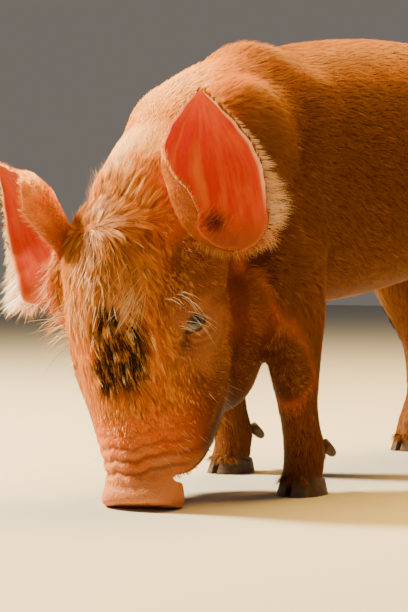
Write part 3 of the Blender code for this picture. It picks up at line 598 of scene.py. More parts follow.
def groupOf(made, name, weights):
    group = made.vertex_groups.new(name=name)
    levels = np.round(weights, 1)
    for level in np.unique(levels):
        if level > 0.0:
            group.add(np.nonzero(levels == level)[0].tolist(), float(level), "REPLACE")


def softenGroup(skin, name, turns):
    soften = skin.modifiers.new("soften " + name, "SMOOTH")
    soften.factor = 0.5
    soften.iterations = turns
    soften.vertex_group = name


def fuseSkin():
    forms = [trunkForm()] + neckForms() + headForms() + [discForm()]
    forms += [legForm(name) for name in legs["feet"]]
    forms += shoulderAndHamForms() + tailForms()
    skin = joinForms("skin", forms)
    remesh = skin.modifiers.new("fuse", "REMESH")
    remesh.mode = "VOXEL"
    remesh.voxel_size = skinPlan["voxel"]
    soften = skin.modifiers.new("soften", "SMOOTH")
    soften.factor = 0.5
    soften.iterations = skinPlan["softenAll"]
    applyModifiers(skin)
    places = meshArrays(skin.data)[0]
    local = headLocal(places)
    share = headShare(places)
    tailMask = smoothStep(0.332, 0.338, places[:, 1])
    body = (1.0 - share) * (1.0 - tailMask)
    trunkPart = body * smoothStep(0.115, 0.150, places[:, 2])
    jaw = smoothStep(0.040, 0.058, local[:, 1]) * smoothStep(0.035, 0.060, local[:, 2])
    jaw *= smoothStep(0.150, 0.130, local[:, 2])
    groupOf(skin, "body", body)
    rootPart = np.zeros(len(places))
    for side in ("left", "right"):
        away = np.linalg.norm(local - np.array(ears[side]["lobe"]), axis=1)
        rootPart = np.maximum(rootPart, 0.30 * smoothStep(0.036, 0.014, away))
    groupOf(skin, "trunk", np.maximum(np.maximum(trunkPart, 0.55 * jaw * share), rootPart))
    softenGroup(skin, "body", skinPlan["softenBody"])
    softenGroup(skin, "trunk", skinPlan["softenTrunk"])
    thin = skin.modifiers.new("thin", "DECIMATE")
    thin.ratio = min(1.0, skinPlan["triangles"] / (2.0 * len(skin.data.polygons)))
    thin.vertex_group = "body"
    thin.use_collapse_triangulate = True
    applyModifiers(skin)
    skin.vertex_groups.clear()
    print("skin fused:", len(skin.data.polygons), "triangles")
    return skin


folds = {
    "snoutFrom": 0.0175,
    "snoutTo": 0.0560,
    "snoutPeriod": 0.0078,
    "snoutDepth": 0.0018,
    "rises": (         # brow, orbit and cheek: place, radius, rise
        ((0.030, -0.006, 0.124), 0.012, 0.0022),
        ((0.0365, 0.003, 0.106), 0.0085, 0.0022),
        ((0.047, 0.030, 0.070), 0.022, 0.0020),
    ),
    "farRise": ((-0.049, 0.010, 0.092), 0.020, 0.0040),
    "creases": ((0.0140, 0.0012, 0.0015), (0.0176, 0.0014, 0.0011), (0.0218, 0.0017, 0.0008)),
}


def eyeGroove(local):
    # folds of skin round the eyes, deeper below them
    total = np.zeros(len(local))
    for side in (1.0, -1.0):
        apart = local - np.array(eyes["place"]) * np.array((side, 1.0, 1.0))
        away = np.linalg.norm(apart * np.array((1.0, 1.0, 1.12)), axis=1)
        away = away + 0.0005 * np.sin(apart[:, 1] * 420.0 + 2.0)
        for radius, width, depth in folds["creases"]:
            fade = smoothStep(0.006, -0.006, apart[:, 2]) if radius > 0.015 else 1.0
            total = np.maximum(total, depth * fade * np.exp(-((away - radius) / width) ** 2))
    return total


def snoutGroove(local):
    # the arcs of wrinkled skin across the top of the snout
    height = local[:, 2]
    wave = height - 1.6 * local[:, 0] ** 2 + 0.0009 * np.sin(local[:, 0] * 240.0)
    wave += 0.0006 * np.sin(local[:, 0] * 610.0 + 80.0 * height)
    band = smoothStep(folds["snoutFrom"], folds["snoutFrom"] + 0.004, height)
    band *= smoothStep(folds["snoutTo"], folds["snoutTo"] - 0.026, height)
    band *= smoothStep(0.026, 0.002, local[:, 1])
    return band * (0.5 + 0.5 * np.cos(2.0 * math.pi * wave / folds["snoutPeriod"])) ** 1.6


def shapeFace(skin):
    places, normals = meshArrays(skin.data)[:2]
    local = headLocal(places)
    share = headShare(places)
    inset = skinPlan["bodyInset"] + (skinPlan["headInset"] - skinPlan["bodyInset"]) * share
    muzzle = smoothStep(0.060, 0.020, local[:, 2]) * share
    push = -inset * (1.0 - 0.6 * muzzle) * smoothStep(0.0, 0.004, places[:, 2])
    push -= folds["snoutDepth"] * snoutGroove(local) * share
    rises = [(side, *rise) for side in (1.0, -1.0) for rise in folds["rises"]]
    for side, spot, radius, rise in rises + [(1.0, *folds["farRise"])]:
        near = np.linalg.norm(local - np.array(spot) * np.array((side, 1.0, 1.0)), axis=1)
        push += rise * np.exp(-(near / radius) ** 2) * share
    push -= eyeGroove(local) * share
    places += normals * push[:, None]
    moveVertices(skin.data, places)


def cutFrom(made, cutter):
    change = made.modifiers.new("cut", "BOOLEAN")
    change.operation = "DIFFERENCE"
    change.object = cutter
    change.solver = "MANIFOLD"
    applyModifiers(made)
    removeObject(cutter)


def eyeAxes(side):
    turn = headFrame().to_3x3()
    sign = signOf(side)
    centre = headPoint(side, eyes["place"])
    axis = (turn @ Vector((sign * eyes["axis"][0], eyes["axis"][1], eyes["axis"][2]))).normalized()
    slant = math.radians(eyes["slant"])
    forward = turn @ Vector((sign * 0.60, 0.80, 0.0))
    longWay = forward * math.cos(slant) + (turn @ Vector((0, 0, 1))) * math.sin(slant)
    longWay = (longWay - axis * longWay.dot(axis)).normalized()
    return centre, axis, longWay, axis.cross(longWay)


def lidCurve(turn, grow=1.0):
    # an almond whose front corner runs out to the tear duct
    lift = abs(math.sin(turn)) ** 1.25
    reach = math.cos(turn) - eyes["duct"] * max(0.0, -math.cos(turn)) ** 6
    return (0.5 * eyes["length"] * grow * reach,
            0.5 * eyes["height"] * grow * math.copysign(lift, math.sin(turn)))


def lidOpening(side):
    centre, axis, longWay, shortWay = eyeAxes(side)
    rings = []
    for depth, grow in ((0.001, 0.72), (0.0095, 1.02), (0.026, 1.7)):
        rim = [lidCurve(2.0 * math.pi * index / 48) for index in range(48)]
        rings.append([centre + axis * depth + (longWay * x + shortWay * y) * grow for x, y in rim])
    return loft("lidOpening", rings)


def mouthCutter():
    place = headFrame()
    rim = [(back, height + 0.5 * head["mouthGap"]) for back, height in head["mouthLine"]]
    rim += [(back, height - 0.5 * head["mouthGap"]) for back, height in reversed(head["mouthLine"])]
    shape = bmesh.new()
    sides = []
    for x in (-head["mouthReach"], head["mouthReach"]):
        sides.append([shape.verts.new(place @ Vector((x, back, height))) for back, height in rim])
    count = len(rim)
    for index in range(count):
        after = (index + 1) % count
        shape.faces.new((sides[0][index], sides[0][after], sides[1][after], sides[1][index]))
    for row in sides:
        shape.faces.new(row)
    bmesh.ops.triangulate(shape, faces=shape.faces)
    bmesh.ops.recalc_face_normals(shape, faces=shape.faces)
    return objectFromBmesh("mouthCutter", shape)


def flattenSoles(skin):
    places = meshArrays(skin.data)[0]
    places[:, 2] = np.maximum(places[:, 2], 0.0)
    moveVertices(skin.data, places)


def hoofTops(skin):
    # the flesh ends at the coronet, just inside the top of the horn
    places = meshArrays(skin.data)[0]
    for leg in legs["feet"].values():
        foot = np.array(leg["foot"])
        near = np.linalg.norm(places[:, :2] - foot, axis=1) < 0.030
        turn = math.radians(leg["side"] * leg["turn"])
        ahead = places[:, :2] - foot
        along = -math.sin(turn) * ahead[:, 0] + math.cos(turn) * ahead[:, 1]
        top = claws["front"] + (claws["back"] - claws["front"]) * (along + claws["toe"]) / (
            claws["toe"] + claws["heel"]) - 0.0030
        low = near & (places[:, 2] < top)
        places[low, 2] = top[low]
    moveVertices(skin.data, places)


claws = {
    "front": 0.0175,
    "back": 0.0090,
    "width": 0.0138,
    "toe": 0.0205,
    "heel": 0.0160,
    "toeSlope": 0.0072,
    "heelSlope": 0.0012,
    "hollow": 0.0016,
    "cleft": 0.0009,
    "taper": 0.0021,
    "levels": 8,
    "sides": 30,
}


def footFrame(leg):
    turn = Matrix.Rotation(math.radians(leg["side"] * leg["turn"]), 4, "Z")
    return Matrix.Translation((*leg["foot"], 0.0)) @ turn


def clawPiece(name, leg, half):
    sign = leg["side"] if half == "outer" else -leg["side"]
    slope = (claws["back"] - claws["front"]) / (claws["toe"] + claws["heel"])
    rows = []
    for level in range(claws["levels"] + 1):
        t = level / claws["levels"]
        row = []
        for index in range(claws["sides"]):
            turn = 2.0 * math.pi * index / claws["sides"]
            along = -math.cos(turn)
            reach = claws["toe"] - claws["toeSlope"] * t
            if along >= 0.0:
                reach = claws["heel"] - claws["heelSlope"] * t
            y = along * reach
            bow = max(0.0, 1.0 - abs(along) ** 2.4) ** 0.5
            if math.sin(turn) > 0.0:
                x = claws["cleft"] + claws["width"] * (0.30 + 0.70 * bow) * min(1.0, 0.30 + bow)
                x -= claws["taper"] * t
            else:
                x = claws["cleft"] + claws["hollow"] * (1.0 - bow)
            row.append(Vector((sign * x, y, t * (claws["front"] + slope * (y + claws["toe"])))))
        rows.append(row)
    place = footFrame(leg)
    made = loft(name, [[place @ point for point in row] for row in rows])
    made.data.shade_smooth()
    made.data.set_sharp_from_angle(angle=math.radians(50))
    return made


dewclaws = {
    "root": (0.0070, 0.0135, 0.0330),
    "end": (0.0095, 0.0235, 0.0245),
    "radius": 0.0040,
    "taper": ((0.0, 1.0), (0.3, 0.97), (0.6, 0.9), (0.8, 0.76), (0.92, 0.55), (1.0, 0.2)),
}


def dewclawPiece(name, leg, half):
    sign = leg["side"] if half == "outer" else -leg["side"]
    place = footFrame(leg)
    mirror = Vector((sign, 1.0, 1.0))
    root = place @ (Vector(dewclaws["root"]) * mirror)
    end = place @ (Vector(dewclaws["end"]) * mirror)
    points = [root.lerp(end, t) for t, size in dewclaws["taper"]]
    radii = [dewclaws["radius"] * size for t, size in dewclaws["taper"]]
    made = tube(name, points, radii, sides=18)
    made.data.shade_smooth()
    return made


# Ears

def earAxes(ear):
    tip = Vector(ear["tip"]).normalized()
    across = Vector(ear["across"])
    across = (across - tip * across.dot(tip)).normalized()
    opening = across.cross(tip)
    if opening.y > 0.0:
        opening = -opening
    root = headFrame() @ Vector(ear["root"]) - tip * ears["sink"]
    return tip, across, opening, root


def earProfile(share):
    for lower, upper in zip(ears["profile"], ears["profile"][1:]):
        if share <= upper[0]:
            break
    t = (share - lower[0]) / (upper[0] - lower[0])
    t = t * t * (3.0 - 2.0 * t) * 0.35 + t * 0.65
    return [low + (high - low) * t for low, high in zip(lower[1:], upper[1:])]


def earPoint(ear, share, curl):
    # a curled sheet whose lowest part closes to a cup and whose front rim runs into the head
    tip, across, opening, root = ear["axes"]
    share = min(max(share, 0.0), 1.0)
    halfWidth, shaping, rear, front = earProfile(share)
    closing = 1.0
    if share < ears["cap"]:
        halfWidth, shaping = earProfile(ears["cap"])[:2]
        closing = math.sqrt(max(1.0 - (1.0 - share / ears["cap"]) ** 2, 0.02))
    radius = halfWidth / math.sin(math.radians(min(shaping, 90.0)))
    depth = (radius - 0.35 * halfWidth) * (ears["capDepth"] + (1.0 - ears["capDepth"]) * closing)
    radius *= closing
    low, high = ear["roll"]
    t = min(max((share - ears["rollFrom"]) / ears["rollOver"], 0.0), 1.0)
    roll = low + (high - low) * t * t * (3.0 - 2.0 * t)
    angle = math.radians(rear if curl > 0.0 else front * roll) * curl
    width = 1.0 + (ear["rear"] - 1.0) * math.sin(math.pi * share)
    if curl < 0.0:
        low, high, least = ear["taper"]
        t = min(max((share - low) / (high - low), 0.0), 1.0)
        width = least + (1.0 - least) * t * t * (3.0 - 2.0 * t)
        peak = math.sin(math.pi * min(ears["frontPeak"] * share, 1.0))
        width *= 1.0 + (ear["front"] - 1.0) * peak
    point = root + tip * (share * ear["length"]) + across * (ears["capShift"] * (1.0 - closing))
    point = point + across * (radius * width * math.sin(angle))
    return point + opening * (depth - radius * math.cos(angle))


def earNormal(ear, share, curl):
    step = 0.004
    low = max(share - step, 0.0)
    along = earPoint(ear, min(share + step, 1.0), curl) - earPoint(ear, low, curl)
    across = earPoint(ear, share, curl + step) - earPoint(ear, share, curl - step)
    return across.cross(along).normalized()


def ridgeHeight(share, curl):
    height = 0.0
    pitCurl = ears["pit"][1]
    for place, width, rise, low, high in ears["ridges"]:
        if low < share < high:
            t = (share - low) / (high - low)
            spread = min(1.0, t * 2.2)
            bent = pitCurl + (place - pitCurl) * (0.30 + 0.70 * spread)
            fade = math.sin(math.pi * t) ** 0.7
            height += rise * fade * math.exp(-((curl - bent) / width) ** 2)
    return height


def earShare(row):
    # rows lie closer together near the root
    return (row / ears["rows"]) ** ears["crowding"]


def earSkin(side):
    ear = dict(ears[side])
    ear["axes"] = earAxes(ear)
    facing = earNormal(ear, 0.5, 0.0)
    flip = 1.0 if facing.dot(ear["axes"][2]) > 0.0 else -1.0
    ear["flip"] = flip
    columns = ears["columns"]
    rows = ears["rows"]
    pitShare, pitCurl, pitRadius, pitDepth = ears["pit"]
    pit = earPoint(ear, pitShare, pitCurl)
    inner = []
    outer = []
    for row in range(rows + 1):
        share = earShare(row)
        innerRow = []
        outerRow = []
        for column in range(columns + 1):
            curl = -1.0 + 2.0 * column / columns
            here = earPoint(ear, share, curl)
            normal = earNormal(ear, share, curl) * flip
            rim = max(abs(curl), share) ** 2
            half = 0.5 * (ears["thick"][0] + (ears["thick"][1] - ears["thick"][0]) * rim)
            roll = 0.0009 * math.exp(-((abs(curl) - 0.95) / 0.06) ** 2) * min(1.0, 4.0 * share)
            ridge = ridgeHeight(share, curl)
            sink = pitDepth * math.exp(-((here - pit).length / pitRadius) ** 2)
            here = here - normal * sink
            innerRow.append(here + normal * (half + ridge + roll))
            outerRow.append(here - normal * (half - 0.5 * ridge))
        inner.append(innerRow)
        outer.append(outerRow)
    shape = bmesh.new()
    mapLayer = shape.loops.layers.uv.new("earMap")
    ridgeLayer = shape.verts.layers.float.new("ridge")
    canalLayer = shape.verts.layers.float.new("canal")
    innerVerts = [[shape.verts.new(point) for point in row] for row in inner]
    outerVerts = [[shape.verts.new(point) for point in row] for row in outer]
    for row in range(rows + 1):
        for column in range(columns + 1):
            share = earShare(row)
            curl = -1.0 + 2.0 * column / columns
            vert = innerVerts[row][column]
            vert[ridgeLayer] = min(1.0, ridgeHeight(share, curl) / 0.0022)
            away = (earPoint(ear, share, curl) - pit).length
            vert[canalLayer] = math.exp(-(away / (1.15 * pitRadius)) ** 2)

    def addFace(verts, spots, finish):
        face = shape.faces.new(verts)
        face.material_index = finish
        face.smooth = True
        for loop, spot in zip(face.loops, spots):
            loop[mapLayer].uv = spot

    for row in range(rows):
        for column in range(columns):
            spots = [((column + dx) / columns, earShare(row + dy))
                     for dx, dy in ((0, 0), (1, 0), (1, 1), (0, 1))]
            for sheet, finish in ((innerVerts, 0), (outerVerts, 1)):
                corners = [sheet[row][column], sheet[row][column + 1],
                           sheet[row + 1][column + 1], sheet[row + 1][column]]
                addFace(corners, spots, finish)
    for row in range(rows):
        for column in (0, columns):
            spot = (column / columns, earShare(row))
            addFace([innerVerts[row][column], innerVerts[row + 1][column],
                     outerVerts[row + 1][column], outerVerts[row][column]], [spot] * 4, 0)
    for column in range(columns):
        for row in (0, rows):
            spot = (column / columns, row / rows)
            addFace([innerVerts[row][column], innerVerts[row][column + 1],
                     outerVerts[row][column + 1], outerVerts[row][column]], [spot] * 4, 0)
    bmesh.ops.recalc_face_normals(shape, faces=shape.faces)
    ear["object"] = objectFromBmesh("ear_" + side + "_skin", shape)
    return ear


# Eyes and lids

def eyeBall(side):
    centre, axis, longWay, shortWay = eyeAxes(side)
    rings = 40
    segments = 56
    shape = bmesh.new()
    layer = shape.verts.layers.float.new("fromAxis")
    rows = []
    for ringIndex in range(rings + 1):
        angle = math.pi * (ringIndex / rings) ** 1.15
        bulge = 0.00055 * math.exp(-(angle / 0.42) ** 2)
        radius = eyes["radius"] - 0.0001 + bulge
        row = []
        for index in range(segments):
            turn = 2.0 * math.pi * index / segments
            spread = longWay * math.cos(turn) + shortWay * math.sin(turn)
            place = centre + axis * (radius * math.cos(angle)) + spread * (radius * math.sin(angle))
            if ringIndex in (0, rings) and index:
                row.append(row[0])
                continue
            vert = shape.verts.new(place)
            vert[layer] = angle
            row.append(vert)
        rows.append(row)
    for lower, upper in zip(rows, rows[1:]):
        for index in range(segments):
            after = (index + 1) % segments
            corners = []
            for vert in (lower[index], lower[after], upper[after], upper[index]):
                if vert not in corners:
                    corners.append(vert)
            if len(corners) > 2:
                shape.faces.new(corners).smooth = True
    bmesh.ops.recalc_face_normals(shape, faces=shape.faces)
    return objectFromBmesh("eye_" + side + "_ball", shape)


lidRim = {"steps": 72, "sides": 10, "upper": 0.00150, "lower": 0.00105, "stand": 0.0004}


def lidPoint(side, angle, grow=1.0, stand=0.0):
    centre, axis, longWay, shortWay = eyeAxes(side)
    x, y = lidCurve(angle, grow)
    flat = longWay * x + shortWay * y
    radius = eyes["radius"] + stand
    depth = math.sqrt(max(radius * radius - flat.length_squared, 1e-8))
    return centre + flat + axis * depth, (flat + axis * depth).normalized()


def lidPiece(side):
    rings = []
    steps = lidRim["steps"]
    for index in range(steps):
        angle = 2.0 * math.pi * index / steps
        here, outward = lidPoint(side, angle, 1.06, lidRim["stand"])
        ahead = lidPoint(side, angle + 0.04, 1.06)[0] - lidPoint(side, angle - 0.04, 1.06)[0]
        ahead.normalize()
        sideways = outward.cross(ahead).normalized()
        size = lidRim["upper"] if math.sin(angle) > 0.0 else lidRim["lower"]
        size = size * (0.45 + 0.55 * abs(math.sin(angle)) ** 0.5)
        ring = []
        for corner in range(lidRim["sides"]):
            turn = 2.0 * math.pi * corner / lidRim["sides"]
            wide = sideways * (size * 1.25 * math.cos(turn))
            ring.append(here + wide + outward * (size * math.sin(turn)))
        rings.append(ring)
    shape = bmesh.new()
    rows = [[shape.verts.new(point) for point in ring] for ring in rings]
    for index in range(steps):
        row = rows[index]
        follow = rows[(index + 1) % steps]
        for corner in range(lidRim["sides"]):
            after = (corner + 1) % lidRim["sides"]
            shape.faces.new((row[corner], row[after], follow[after], follow[corner])).smooth = True
    bmesh.ops.recalc_face_normals(shape, faces=shape.faces)
    return objectFromBmesh("lids_" + side, shape)


# Coat and skin colour with painted light and shade: the same masks colour the skin and the roots of the
# coat.
# The pale mask is painted light and the dark mask is painted shade, and the soil mask also holds painted
# shade in creases. Pale and dark were fitted to lit and shaded areas of one view, so they aren't known
# colourings of the breed

marksAndLightPlan = {
    "soilPlace": (0.006, -0.020, 0.105),
    "soilRadii": (0.019, 0.020, 0.032),
    "speckPlace": (0.0385, 0.012, 0.097),
    "whorl": (-0.010, -0.004, 0.178),
    # lines of painted shade: the hollow down the far side of the face below the ear, and the far eye's slit
    "hollow": ((-0.041, 0.018, 0.182), (-0.031, 0.008, 0.100)),
    "farSlitShade": ((-0.045, 0.015, 0.113), (-0.042, 0.018, 0.097)),
    "bands": {         # where a mask starts and is full, and its strength
        "muzzle": (0.046, 0.016, 0.85), "eyeBare": (0.036, 0.012, 0.55),
        "soil_and_shade": (1.20, 0.74, 1.0), "speck": (0.010, 0.002, 0.78), "feet": (0.050, 0.012, 0.28),
        "top": (0.225, 0.310, 1.0), "napeUp": (0.190, 0.280, 1.0),
        "napeAhead": (-0.015, -0.105, 1.0), "crown": (0.135, 0.195, 1.0),
        "poll": (0.180, 0.220, 1.0), "browFoot": (0.115, 0.140, 1.0),
        "browTop": (0.180, 0.160, 1.0), "browAcross": (0.034, 0.020, 1.0),
        "cheekBack": (0.000, 0.034, 1.0), "cheekTop": (0.160, 0.085, 1.0),
        "flank": (0.285, 0.190, 1.0), "throatTop": (0.150, 0.110, 1.0),
        "throatAhead": (0.02, -0.03, 1.0), "leftOut": (0.020, 0.060, 1.0),
        "leftTop": (0.312, 0.270, 1.0), "behindNape": (-0.120, -0.030, 0.66),
        "lowLegs": (0.16, 0.12, 0.04), "faceOut": (0.024, 0.044, 1.0),
        "faceTop": (0.175, 0.150, 1.0), "whorl": (0.046, 0.012, 0.60),
        "hollow": (0.017, 0.006, 0.80), "earOut": (0.044, 0.066, 1.0),
        "earUp": (0.130, 0.170, 1.0), "farSlitShade": (0.0032, 0.0012, 0.80),
    },
    # strengths of the pale mask, which is painted light
    "pale": {"top": 0.22, "crown": 0.16, "nape": 0.86, "brow": 0.40, "lessOnEar": 0.8},
    # strengths of the dark mask, which is painted shade
    "painted_shade": {"cheek": 1.00, "leftCheek": 0.86, "ear": 0.30, "throat": 0.80},
    # how strongly painted shade fills the snout wrinkles and the creases round the eyes
    "snoutCreaseShade": 0.42,
    "eyeCreaseShade": 260.0,
    "ragged": (0.0035, 0.0025),
}


def awayFrom(points, line):
    # distance from a marked line
    first, last = (np.array(end) for end in marksAndLightPlan[line])
    along = last - first
    part = np.clip((points - first) @ along / (along @ along), 0.0, 1.0)
    return np.linalg.norm(points - first - part[:, None] * along, axis=1)


def band(name, value):
    low, high, strength = marksAndLightPlan["bands"][name]
    return strength * smoothStep(low, high, value)


def marksAndPaintedLight(points):
    local = headLocal(points)
    share = headShare(points)
    body = 1.0 - share
    sideways, back, up = local[:, 0], local[:, 1], local[:, 2]
    height = points[:, 2]
    drift = wander(points, 190.0, 3.0)
    ragged = marksAndLightPlan["ragged"][0] * drift[:, 0] + marksAndLightPlan["ragged"][1] * drift[:, 1]
    pink = band("muzzle", up + 0.28 * np.maximum(back, 0.0) + 1.3 * ragged) * share
    for side in (1.0, -1.0):
        eye = np.array(eyes["place"]) * np.array((side, 1.0, 1.0))
        away = np.linalg.norm(local - eye + np.array((0.0, 0.0, 0.004)), axis=1) + ragged
        pink = np.maximum(pink, band("eyeBare", away) * share)
    # soil: a patch of mud on the front of the face, a darker speck below the left eye and darker feet, with
    # painted shade in the snout wrinkles, in the creases round the eyes and along the far eye's slit
    soil_and_shade = (local - np.array(marksAndLightPlan["soilPlace"])) / np.array(marksAndLightPlan["soilRadii"])
    soil_and_shade = band("soil_and_shade", np.linalg.norm(soil_and_shade, axis=1) + 0.17 * drift[:, 2]) * share
    speck = np.linalg.norm(local - np.array(marksAndLightPlan["speckPlace"]), axis=1)
    for more in (band("speck", speck + 0.6 * ragged) * share, band("feet", height) * body,
                 marksAndLightPlan["snoutCreaseShade"] * snoutGroove(local) * share,
                 marksAndLightPlan["eyeCreaseShade"] * eyeGroove(local) * share,
                 band("farSlitShade", awayFrom(local, "farSlitShade")) * share):
        soil_and_shade = np.maximum(soil_and_shade, more)
    # pale is painted light: the top of the back, the nape, crown, poll and brow are paler where light falls,
    # less on the ears
    top = band("top", height + 2.0 * ragged) * body
    nape = band("napeUp", height) * band("napeAhead", points[:, 1]) * body
    crown = band("crown", up + 2.0 * ragged) * share
    poll = band("poll", up + 2.0 * ragged) * share
    brow = band("browFoot", up) * band("browTop", up)
    brow *= band("browAcross", np.abs(sideways - 0.004)) * share
    onEar = band("earOut", np.abs(sideways)) * band("earUp", up)
    strength = marksAndLightPlan["pale"]
    pale = np.maximum(strength["top"] * top, strength["crown"] * crown)
    pale = np.maximum(pale, strength["nape"] * (nape + poll))
    pale = np.maximum(pale, strength["brow"] * brow)
    pale *= 1.0 - strength["lessOnEar"] * onEar
    # dark is painted shade: darker on the lower body, the left flank, the body behind the nape, the cheeks
    # and jaw, the left side of the face, round the whorl, in the hollow on the far side, on the ears and
    # under the throat, less on the lower legs
    strength = marksAndLightPlan["painted_shade"]
    leftFlank = band("leftOut", points[:, 0]) * band("leftTop", height) * body
    painted_shade = np.maximum(band("flank", height) * body, leftFlank)
    painted_shade = np.maximum(painted_shade, band("behindNape", points[:, 1]) * body)
    painted_shade -= band("lowLegs", height) * body
    cheek = band("cheekBack", back) * share * band("cheekTop", up)
    leftCheek = band("faceOut", sideways) * share * band("faceTop", up)
    swirl = np.linalg.norm(local - np.array(marksAndLightPlan["whorl"]), axis=1)
    throat = band("throatTop", height) * band("throatAhead", points[:, 1])
    for more in (strength["cheek"] * cheek, strength["leftCheek"] * leftCheek,
                 band("whorl", swirl) * share, band("hollow", awayFrom(local, "hollow")) * share,
                 strength["ear"] * onEar, strength["throat"] * throat * body):
        painted_shade = np.maximum(painted_shade, more)
    return {"pink": pink, "soil_and_shade": soil_and_shade, "pale": pale, "painted_shade": np.clip(painted_shade, 0.0, 1.0)}


# a piece can be given more painted shade as a whole
def addMarksAndPaintedLight(mesh, points, painted_shade=0.0):
    for name, values in marksAndPaintedLight(points).items():
        if name == "painted_shade":
            values = np.maximum(values, painted_shade)
        addValues(mesh, name, values)


# Materials

def newMaterial(name):
    made = bpy.data.materials.new(name)
    made.use_nodes = True
    made.node_tree.nodes.clear()
    return made


def addNode(tree, kind, **values):
    made = tree.nodes.new(kind)
    for key, value in values.items():
        setattr(made, key, value)
    return made


def finishShader(tree, settings):
    shader = addNode(tree, "ShaderNodeBsdfPrincipled")
    output = addNode(tree, "ShaderNodeOutputMaterial")
    tree.links.new(shader.outputs["BSDF"], output.inputs["Surface"])
    for key, value in settings.items():
        shader.inputs[key].default_value = value
    return shader


def mixColours(tree, factor, first, second, mode="MIX"):
    made = addNode(tree, "ShaderNodeMix", data_type="RGBA", blend_type=mode)
    for socket, value in ((made.inputs[0], factor), (made.inputs[6], first), (made.inputs[7], second)):
        if isinstance(value, (tuple, float, int)):
            socket.default_value = value
        else:
            tree.links.new(value, socket)
    return made.outputs[2]


def mathNode(tree, operation, first, second=0.0, third=None, clamp=False):
    made = addNode(tree, "ShaderNodeMath", operation=operation, use_clamp=clamp)
    values = (first, second) if third is None else (first, second, third)
    for socket, value in zip(made.inputs, values):
        if isinstance(value, (float, int)):
            socket.default_value = value
        else:
            tree.links.new(value, socket)
    return made.outputs[0]


def attribute(tree, name):
    return addNode(tree, "ShaderNodeAttribute", attribute_name=name).outputs["Fac"]


def objectPlace(tree):
    return addNode(tree, "ShaderNodeTexCoord").outputs["Object"]


def noise(tree, vector, scale, detail=3.0, rough=0.5):
    made = addNode(tree, "ShaderNodeTexNoise")
    made.inputs["Scale"].default_value = scale
    made.inputs["Detail"].default_value = detail
    made.inputs["Roughness"].default_value = rough
    tree.links.new(vector, made.inputs["Vector"])
    return made.outputs["Fac"]


def ramp(tree, value, stops):
    made = addNode(tree, "ShaderNodeValToRGB")
    parts = made.color_ramp.elements
    while len(parts) < len(stops):
        parts.new(0.5)
    for part, (place, colour) in zip(parts, stops):
        part.position = place
        part.color = (*colour, 1.0)
    tree.links.new(value, made.inputs["Fac"])
    return made.outputs["Color"]


def bump(tree, height, strength, distance):
    made = addNode(tree, "ShaderNodeBump")
    made.inputs["Strength"].default_value = strength
    made.inputs["Distance"].default_value = distance
    tree.links.new(height, made.inputs["Height"])
    return made.outputs["Normal"]


# red is also the colour of the painted shade, gold and cream also of the painted light, and soil also of the
# painted shade in creases
coatColours = {
    "ginger": (0.620, 0.116, 0.008, 1.0),
    "red": (0.044, 0.0084, 0.0036, 1.0),
    "gold": (0.900, 0.340, 0.024, 1.0),
    "cream": (0.960, 0.700, 0.320, 1.0),
    "pink": (0.560, 0.225, 0.085, 1.0),
    "soil_and_shade": (0.016, 0.009, 0.005, 1.0),
}


def marksAndLightGroup():
    tree = bpy.data.node_groups.new("piglet markings", "ShaderNodeTree")
    for name in ("Pink", "Soil_and_shade", "Pale", "Painted_shade", "Tone"):
        tree.interface.new_socket(name, in_out="INPUT", socket_type="NodeSocketFloat")
    tree.interface.new_socket("Vector", in_out="INPUT", socket_type="NodeSocketVector")
    tree.interface.new_socket("Color", in_out="OUTPUT", socket_type="NodeSocketColor")
    given = addNode(tree, "NodeGroupInput")
    broad = noise(tree, given.outputs["Vector"], 26.0, 4.0, 0.6)
    fine = noise(tree, given.outputs["Vector"], 160.0, 3.0, 0.6)
    # red mixed in by the dark mask is painted shade
    base = mixColours(tree, given.outputs["Painted_shade"], coatColours["ginger"], coatColours["red"])
    patch = mathNode(tree, "MULTIPLY_ADD", broad, 0.9, -0.30, clamp=True)
    base = mixColours(tree, patch, base, coatColours["red"])
    # gold mixed in by the pale mask is painted light, and cream on its palest parts a painted highlight
    base = mixColours(tree, given.outputs["Pale"], base, coatColours["gold"])
    paintedGlare = mathNode(tree, "MULTIPLY_ADD", given.outputs["Pale"], 2.2, -1.3, clamp=True)
    base = mixColours(tree, paintedGlare, base, coatColours["cream"])
    light = mathNode(tree, "MULTIPLY_ADD", given.outputs["Tone"], 1.7, -0.85, clamp=True)
    base = mixColours(tree, light, base, coatColours["gold"])
    bright = mathNode(tree, "MULTIPLY_ADD", given.outputs["Tone"], 5.0, -4.2, clamp=True)
    base = mixColours(tree, bright, base, coatColours["cream"])
    shade = mathNode(tree, "MULTIPLY_ADD", given.outputs["Tone"], -2.0, 0.76, clamp=True)
    base = mixColours(tree, shade, base, coatColours["red"])
    base = mixColours(tree, mathNode(tree, "MULTIPLY", given.outputs["Pink"], 0.85), base,
                      coatColours["pink"])
    # the soil colour lays mud, and painted shade in the creases
    soilAndShadeAmount = mathNode(tree, "MULTIPLY_ADD", given.outputs["Tone"], -1.8, 0.75)
    soilAndShadeAmount = mathNode(tree, "MULTIPLY_ADD", fine, 2.4, soilAndShadeAmount, clamp=True)
    base = mixColours(tree, mathNode(tree, "MULTIPLY", given.outputs["Soil_and_shade"], soilAndShadeAmount), base,
                      coatColours["soil_and_shade"])
    out = addNode(tree, "NodeGroupOutput")
    tree.links.new(base, out.inputs["Color"])
    return tree


marksAndLightTree = marksAndLightGroup()


def marksAndLightColour(tree, tone):
    group = addNode(tree, "ShaderNodeGroup", node_tree=marksAndLightTree)
    for name in ("Pink", "Soil_and_shade", "Pale", "Painted_shade"):
        tree.links.new(attribute(tree, name.lower()), group.inputs[name])
    if isinstance(tone, float):
        group.inputs["Tone"].default_value = tone
    else:
        tree.links.new(tone, group.inputs["Tone"])
    place = objectPlace(tree)
    tree.links.new(place, group.inputs["Vector"])
    return group.outputs["Color"], place


